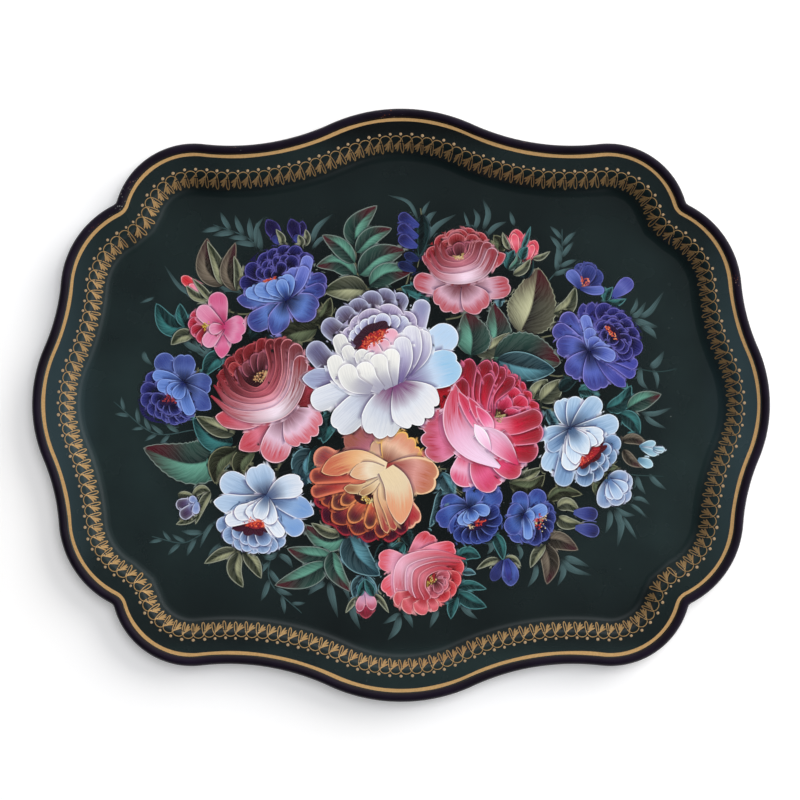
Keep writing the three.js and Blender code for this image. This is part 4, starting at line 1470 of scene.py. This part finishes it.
def blue_peony_right():
    """The violet blue peony on the right, facing right."""
    rng = random.Random(27)
    foot, heart = (127, 36), (141, 46)
    skirt = flower("right_blue_skirt", rng)
    blue = "10143c 5c6cbc 343684 9894dc"
    petals(skirt, (123, 42), [(122, 68, 8, 0, "point"), (128, 69, 8, -1, "point")],
            "202058 38388c 303078 7874bc")
    petals(skirt, foot, [(109, 61.5, 12, 1), (102.5, 52.5, 12, 1), (103.5, 39, 15, -1, "two"),
            (112, 19, 16, 0, "two"), (132.5, 9.5, 18, 0, "two")], blue, neck=0.2, shade=0.3)
    petals(skirt, (130, 33), [(150, 12, 8, -1, "point"), (156, 19, 8, 2), (158, 26, 8, 2)],
            "242c6c 545cb0 40449c 8480cc")
    skirt.finish()
    cup = flower("right_blue_cup", rng)
    pool(cup, (142, 47), (42, 34), -45, "14102c", "1c1850")
    navy = "100c2c 1e1c54 2c2c78 7470bc"
    blue_cup(cup, heart, [(134, 68, 12, 0), (143, 65, 11), (149.5, 61, 11), (155, 55, 12), (159.5, 46, 12),
            (161, 36, 12), (153, 31, 11)], navy)
    blue_cup(cup, heart, [(136, 60, 10), (142, 58, 9), (147, 54, 9), (151.5, 48, 10), (154, 41, 10),
            (151, 35, 9)], navy)
    blue_cup(cup, heart, [(132, 55, 10), (138, 54, 8), (148, 37, 8), (143, 40, 8), (133, 47, 8),
            (138, 47, 8)], navy)
    pool(cup, (142, 48.5), (14, 6), -50, "1a0c1c", "241240")
    stamens(cup, (140.5, 48), (12, 3.5), -50, 34, "d8583c e07048 a83428 f09060", 0.5)
    sky = "1c2258 5464b4 7484cc 98a8e4"
    petals(cup, foot, [(122.5, 60, 7, -1), (126, 51.5, 8), (132, 45, 11), (138.5, 37, 12), (143, 31, 9, 1)],
            sky)
    cup.finish()


def blue_peony_left():
    """The slate blue flower at the left, facing down to the left."""
    rng = random.Random(28)
    foot, heart = (-145.5, 14), (-155, 3)
    skirt = flower("left_blue_skirt", rng)
    blue = "10163c 586cac 384890 8ca0dc"
    petals(skirt, foot, [(-162, 33.5, 14, 1), (-144.5, 34, 15, 0, "two"), (-126.5, 12, 15, 1, "two"),
            (-127, -3, 14, -1, "point")], blue, neck=0.2, shade=0.3)
    skirt.finish()
    cup = flower("left_blue_cup", rng)
    pool(cup, (-157, 1), (36, 26), 15, "181634", "1e1c50")
    navy = "121030 22245c 343880 7074b8"
    blue_cup(cup, heart, [(-170, 20, 9, -2), (-173.5, 12, 11), (-174, 3, 10), (-169, -5, 10),
            (-162.5, -9, 9), (-156, -12, 9), (-149.5, -13.5, 9), (-143, -11, 9), (-139.5, -8, 8)], navy)
    blue_cup(cup, heart, [(-167, 4, 9), (-162, -3, 9), (-155, -7, 9), (-148, -6, 9)], navy)
    pool(cup, (-155, 3), (13, 7), 15, "2c1024", "1c1640")
    stamens(cup, (-155, 3.5), (9, 5), 15, 26, "7c2430 a03438 501a2c", 0.55)
    sky = "1c2864 5878bc 7090d4 94b0ec"
    petals(cup, foot, [(-166, 20, 8, -1), (-163, 13, 9, 1), (-156, 8, 9), (-146, -3, 7), (-140, -7, 8, -1),
            (-150.5, 4, 9)], sky)
    cup.finish()


def pale_peony_lower_left():
    """The pale blue peony at the lower left, hanging down."""
    rng = random.Random(29)
    foot, heart = (-89.5, -62), (-98, -79)
    skirt = flower("lower_pale_skirt", rng)
    pale = "24345c a0bad8 bcd2ea f6f6fa"
    petals(skirt, foot, [(-66, -86, 13, -1), (-58, -73, 15, 1, "point")], "48608c 94b4dc 7ca4d8 eef2fa",
            neck=0.2)
    petals(skirt, foot, [(-120, -49, 17, 1), (-96.5, -40, 20, 0, "two")], pale, neck=0.15)
    petals(skirt, foot, [(-65, -53, 16, 2, "three")], "445880 c4d4e6 dce2ec fcfafc", neck=0.15)
    petals(skirt, foot, [(-125, -65, 13, 3, "point")], pale)
    skirt.finish()
    cup = flower("lower_pale_cup", rng)
    pool(cup, (-98, -78), (38, 30), 0, "405878", "50688c")
    blue = "384468 6c84ac 94b0d4 dce4f4"
    petals(cup, heart, [(-123, -79, 11, 2), (-118.5, -89, 12, 1), (-77, -92.5, 9, -2), (-109, -96.5, 11),
            (-83.5, -97.5, 9), (-98, -99.5, 9), (-103.5, -98, 8), (-90, -99, 10)], blue, root=0.15,
            hidden=0.4)
    petals(cup, heart, [(-112, -87.5, 9), (-105, -93, 9), (-97, -95, 10), (-88.5, -93.5, 10)], blue,
            root=0.15, hidden=0.4)
    pool(cup, (-99.5, -80), (25, 14), -6, "3a1420", "40182c", 9)
    pool(cup, (-97, -78.5), (15, 9), -6, "b42028", "701828")
    stamens(cup, (-97.5, -78.5), (14, 7), -6, 44, "e05030 f07048 c02828", 0.55)
    white = "50688c b8cae0 e6ecf5 ffffff"
    petals(cup, foot, [(-117, -78, 9, 4), (-84, -87, 8, -1), (-79, -88, 8, -3)], white)
    petals(cup, foot, [(-111, -73, 11, 3), (-103, -74, 10, 2, "two"), (-86.5, -80, 10, 0),
            (-95.5, -76.5, 10, 0, "two")], white)
    cup.finish()


def pale_peony_right():
    """The pale blue peony at the right, facing down to the right."""
    rng = random.Random(30)
    foot, heart = (113.5, -17), (126, -35)
    skirt = flower("right_pale_skirt", rng)
    pale = "24385c 8cacce b0cbe4 f0f6fc"
    petals(skirt, foot, [(106.5, 4, 13, 0, "two"), (117, 5.5, 11), (132, 4.5, 13, -1), (145, -11, 14, -2),
            (94.5, -25, 16, 0, "two"), (97, -45, 15, 0, "two")], pale, neck=0.25)
    skirt.finish()
    cup = flower("right_pale_cup", rng)
    blue = "304464 6080a8 88a8cc d4e2f2"
    petals(cup, heart, [(146, -23, 12), (144, -34, 12), (138, -43, 12), (131, -51, 12), (121, -54.5, 12)],
            blue, root=0.15, hidden=0.4)
    petals(cup, foot, [(107, -54.5, 13, 1), (98, -30, 9, 1)], blue)
    petals(cup, heart, [(140, -28, 9), (136, -37, 9), (128.5, -44, 9), (119, -47, 9)], blue, root=0.2,
            hidden=0.4)
    pool(cup, (126, -34), (25, 10), 38, "3c0c14", "501018", 7)
    pool(cup, (125, -35), (20, 5), 38, "b01c24", "801420")
    stamens(cup, (125, -35), (18, 4), 38, 34, "d84030 e86848 b02028", 0.5)
    light = "486488 b0cae4 dce8f4 ffffff"
    petals(cup, foot, [(135.5, -21, 13, -2, "two"), (112, -44, 12, 1)], light)
    petals(cup, foot, [(131, -26, 10, -1, "point"), (116.5, -40, 11, 0, "point"),
            (124.5, -33, 15, 0, "point")], light)
    cup.finish()


def pink_flower_left():
    """The small pink flower at the left, its crimson cup facing left."""
    rng = random.Random(31)
    foot, heart = (-119, 52), (-130, 53)
    paint = flower("left_pink_flower", rng)
    pink = "b62e66 dd7ea6 d45b8c e7b3c7"
    petals(paint, foot, [(-123, 75.5, 13, 1), (-120, 31, 11, 0, "point")], pink)
    petal(paint, foot, (-104, 49), 21, "c13d75 e39cbc db689a e7b3c9", 0, "three", neck=0.25)
    pool(paint, (-131, 53), (20, 19), 0, "701020", "941428")
    crimson = "700b1a 9c0b27 b3163a e391a9"
    petals(paint, heart, [(-140, 62, 10), (-142.5, 54.5, 10), (-140, 47, 10), (-134, 41, 9), (-134, 60, 8)],
            crimson, root=0.1)
    stamens(paint, (-130.5, 53), (6, 4), 60, 18, "d8b840 e8d070 a88828", 0.45)
    petals(paint, foot, [(-135.5, 65.5, 11, 1), (-131, 39, 10, -1), (-128.5, 50, 8, 0)],
            "b62e63 dd86a9 df95b4 e8bece")
    paint.finish()


def coral_rose_bottom():
    """The coral pink rose at the bottom, opening to the lower right."""
    rng = random.Random(32)
    heart = (22, -117)
    skirt = flower("bottom_rose_skirt", rng)
    coral = "a4364e ec96ae cc2e3e f6aab6"
    petals(skirt, (5, -104), [(20.5, -86, 15, -1, "two"), (36.5, -96, 12, 1, "two")], coral)
    petals(skirt, (6, -106), [(-15.5, -103, 15, 0, "two"), (-12, -125, 14, 2, "two")],
            "c85a76 f0aec6 dc4252 f6b6c2")
    skirt.finish()
    cup = flower("bottom_rose_cup", rng)
    pool(cup, (18, -117), (34, 34), 0, "8c1820", "a01c24")
    back = "7c1820 b42232 d03642 f49496"
    petals(cup, heart, [(41.5, -106, 12, 1), (40, -117.5, 12, 1), (36, -126, 12), (24, -134.5, 11),
            (30, -131, 11), (12, -137, 11, 1), (3, -136, 10, 2), (-4, -131, 10, 3)], back, root=0.1,
            hidden=0.4, glow=0.3)
    petals(cup, heart, [(32.5, -114, 8, 1), (31, -122, 9), (22, -129, 9)], "6c1c2c a04252 c86272 f0a2ae",
            root=0.1)
    petals(cup, heart, [(29, -119, 6), (26, -125, 7)], "401018 803840 a85262 e094a2", root=0.1)
    stamens(cup, (20.5, -117.5), (6, 4), 20, 24, "c8a850 e0cc80 987830", 0.45)
    style = {"shade": 0.45, "neck": 0.12, "dim": 0.5, "rim": 0.25, "glow": 0.12}
    layers(cup, (
        ("c03a4a e48292 b82a3a f4aeba", [
            (7, (34, -110), (24, -109), (15, -113), (13, -122), (18, -131)),
            (8, (37, -107), (22, -105.5), (10, -111), (8, -122), (13, -133)),
        ]),
        ("d05262 f4bed2 c83e52 fbd2e2", [
            (8, (40, -105), (22, -102.5), (6, -108), (3.5, -122), (8, -135)),
            (8, (43, -103), (22, -99.5), (2.5, -105), (-1, -120), (3, -134)),
        ]),
    ), **style)
    petals(cup, heart, [(19, -137.5, 10, 1), (-5, -131, 11, 1), (1, -136.5, 12, 1), (10, -138.5, 12, 1)],
            "a82c38 e07480 c43848 f8b8b8", root=0.6, dim=0.6)
    cup.finish()


def small_blue_flowers():
    """The two small blue flowers at the bottom, and the crocuses at the right."""
    rng = random.Random(33)
    blue, navy, sky = "0e1438 4c6cb4 2c3c88 808cd0", "101438 202c6c 2c4088 6478c0", SKY
    left = flower("bottom_blue_left", rng)
    petals(left, (46, -69), [(66, -57, 16, -1), (27, -64, 14, 1), (24, -79, 13, -1, "two"),
            (33, -86, 9, -1, "point"), (51, -54, 12, 0)], blue)
    pool(left, (50, -79), (30, 20), 12, "14143c", "1c2464")
    petals(left, (50, -78), [(36, -90, 10), (43.5, -92.5, 11), (51.5, -93, 11), (59, -90.5, 11),
            (64, -84, 10), (67.5, -76, 10), (65, -69, 9)], navy, root=0.15, glow=0.15, hidden=0.4)
    pool(left, (51, -80), (16, 7), 22, "240c1c", "1c1440")
    stamens(left, (53, -79), (8, 4), 22, 22, "c83028 e05038 a02028", 0.5)
    stamens(left, (47, -82), (5, 3), 22, 12, "d8b890 e8d8b0 402020", 0.45)
    petals(left, (46, -70), [(39, -80, 7), (59, -72, 8, 1), (44, -79.5, 7), (49.5, -77.5, 8)], sky)
    left.finish()

    right = flower("bottom_blue_right", rng)
    petals(right, (82, -74), [(94.5, -57.5, 12, 0), (78, -58, 11, 0), (71, -71, 15, 0), (75, -91.5, 12, 1),
            (69.5, -84, 13, 1)], blue)
    pool(right, (91, -79), (18, 28), -8, "14143c", "1c2060")
    petals(right, (90, -77), [(100.5, -67, 10), (103, -75, 10), (101, -84, 10), (96, -91, 10),
            (88.5, -94, 10), (82, -92, 9)], "101034 202660 2c3c80 6874b8", root=0.15, glow=0.15, hidden=0.4)
    stamens(right, (92, -78), (5, 11), -12, 24, "b82c2c d84838 882028", 0.5)
    stamens(right, (93.5, -79), (8, 14), -12, 22, "d8b890 e8d8a8 301828", 0.4)
    petals(right, (82, -74), [(97, -68.5, 9, -1), (86, -85, 7, 1), (89, -75, 9), (84.5, -90, 6, 1)], sky)
    right.finish()

    crocus = flower("crocus_top_right", rng)
    petals(crocus, (120, 78), [(120.5, 95, 9), (126.5, 95.5, 9), (135, 88, 12, 1), (128, 93, 10)],
            "141844 282f66 343f80 6068ac")
    stamens(crocus, (123.5, 82.5), (6, 5), 0, 20, "d86850 e88868 b04438", 0.5)
    petals(crocus, (120, 78), [(111.5, 89.5, 8, -1), (136, 77, 6, -1)], "2c3878 5060a4 6474b8 8088d0")
    crocus.finish()

    pale = flower("crocus_lower_right", rng)
    petals(pale, (138, -50), [(154, -54, 13, 1), (151, -51, 10, 2), (136, -69, 11, -1), (152, -64, 11, 0),
            (146, -67, 12)], "405c80 7c9cc4 7c94bc e0e8f4", glow=0.5)
    petals(pale, (139, -51), [(151, -57, 8), (140, -63, 7), (146, -63, 7)], "6484b4 a8c4e4 c0d4ee e8f2fc")
    pale.finish()


grass()
leaves()
buds()
blue_peony_left()
pink_flower_left()
blue_peony_top()
top_rose()
blue_peony_right()
pale_peony_right()
small_blue_flowers()
pale_peony_lower_left()
coral_rose_bottom()
orange_peony()
pink_rose_left()
crimson_rose()
white_peony()


# ---------------------------------------------------------------- the room: floor, light and camera
def area_light(name, place, size, power, colour):
    """A soft lamp aimed at the tray, which lights it without a mirror image of itself in the lacquer."""
    data = bpy.data.lights.new(name, "AREA")
    data.shape, data.size, data.energy, data.color = "DISK", size, power, colour
    lamp = bpy.data.objects.new(name, data)
    lamp.location = place
    lamp.visible_glossy = False
    lamp.rotation_euler = (-Vector(place)).to_track_quat("-Z", "Y").to_euler()
    bpy.context.collection.objects.link(lamp)


def stage_floor():
    n = Nodes("pale_floor")
    tone = n.noise(n.place(), 3.0, 2.0)
    colour = n.ramp(tone, [(0.2, linear("f3f1ee")), (0.8, linear("f7f8fa"))])
    material = n.finish(Base_Color=colour, Roughness=0.85, Emission_Color=(1, 1, 1, 1), Emission_Strength=0.2)
    mesh = bpy.data.meshes.new("floor")
    half = 4.0
    mesh.from_pydata([(-half, -half, 0), (half, -half, 0), (half, half, 0), (-half, half, 0)], [],
            [(0, 1, 2, 3)])
    mesh.materials.append(material)
    floor = bpy.data.objects.new("floor", mesh)
    floor.location.z = -0.0002
    bpy.context.collection.objects.link(floor)


BRIGHT_SIDE = (0.77, 0.64, 0.0)
BACKDROP = (0.7, 0.71, 0.73, 1.0)
WORLD_STRENGTH = 1.25


def world_light():
    """A room that is bright low down at the far right, and dark at the near left and straight above. The
    lacquer mirrors it, and the camera itself sees a plain pale backdrop."""
    world = bpy.data.worlds.new("studio")
    bpy.context.scene.world = world
    world.use_nodes = True
    nodes, links = world.node_tree.nodes, world.node_tree.links
    place = nodes.new("ShaderNodeTexCoord")

    def ramp_along(direction, stops):
        facing = nodes.new("ShaderNodeVectorMath")
        facing.operation = "DOT_PRODUCT"
        facing.inputs[1].default_value = direction
        links.new(place.outputs["Generated"], facing.inputs[0])
        halved = nodes.new("ShaderNodeMath")
        halved.operation = "MULTIPLY_ADD"
        halved.inputs[1].default_value, halved.inputs[2].default_value = 0.5, 0.5
        links.new(facing.outputs["Value"], halved.inputs[0])
        ramp = nodes.new("ShaderNodeValToRGB")
        links.new(halved.outputs[0], ramp.inputs["Fac"])
        points = ramp.color_ramp.elements
        while len(points) < len(stops):
            points.new(0.5)
        for point, (position, colour) in zip(points, stops):
            point.position, point.color = position, (*colour, 1.0)
        return ramp.outputs["Color"]

    height = ramp_along((0, 0, 1), [(0.5, (0.96, 0.98, 1.0)), (0.7, (0.92, 0.96, 1.0)),
            (0.86, (0.24, 0.23, 0.24))])
    side = ramp_along(BRIGHT_SIDE, [(0.15, (0.02, 0.02, 0.025)), (0.9, (0.75, 0.75, 0.75))])
    both = nodes.new("ShaderNodeMix")
    both.data_type, both.blend_type = "RGBA", "MULTIPLY"
    both.inputs[0].default_value = 1.0
    links.new(height, both.inputs[6])
    links.new(side, both.inputs[7])
    seen = nodes.new("ShaderNodeLightPath")
    backdrop = nodes.new("ShaderNodeMix")
    backdrop.data_type = "RGBA"
    backdrop.inputs[7].default_value = BACKDROP
    links.new(seen.outputs["Is Camera Ray"], backdrop.inputs[0])
    links.new(both.outputs[2], backdrop.inputs[6])
    links.new(backdrop.outputs[2], nodes["Background"].inputs["Color"])
    nodes["Background"].inputs["Strength"].default_value = WORLD_STRENGTH


def camera():
    """Almost straight above, tilted a little towards the tray's near side."""
    data = bpy.data.cameras.new("camera")
    view = bpy.data.objects.new("camera", data)
    elevation, distance = math.radians(86), 2.0
    aim = Vector((-0.0007, 0.0023, 0.012))
    view.location = aim + Vector((0, -math.cos(elevation), math.sin(elevation))) * distance
    view.rotation_euler = (aim - view.location).to_track_quat("-Z", "Y").to_euler()
    data.sensor_width = 36.0
    data.lens = 135.5
    bpy.context.collection.objects.link(view)
    bpy.context.scene.camera = view


stage_floor()
world_light()
area_light("window", place=(3.2, 2.3, 2.2), size=3.6, power=175, colour=(1.0, 0.98, 0.95))
area_light("ceiling", place=(0.5, 0.35, 3.4), size=2.4, power=62, colour=(0.97, 0.98, 1.0))
camera()
bpy.context.scene.view_settings.view_transform = "Standard"
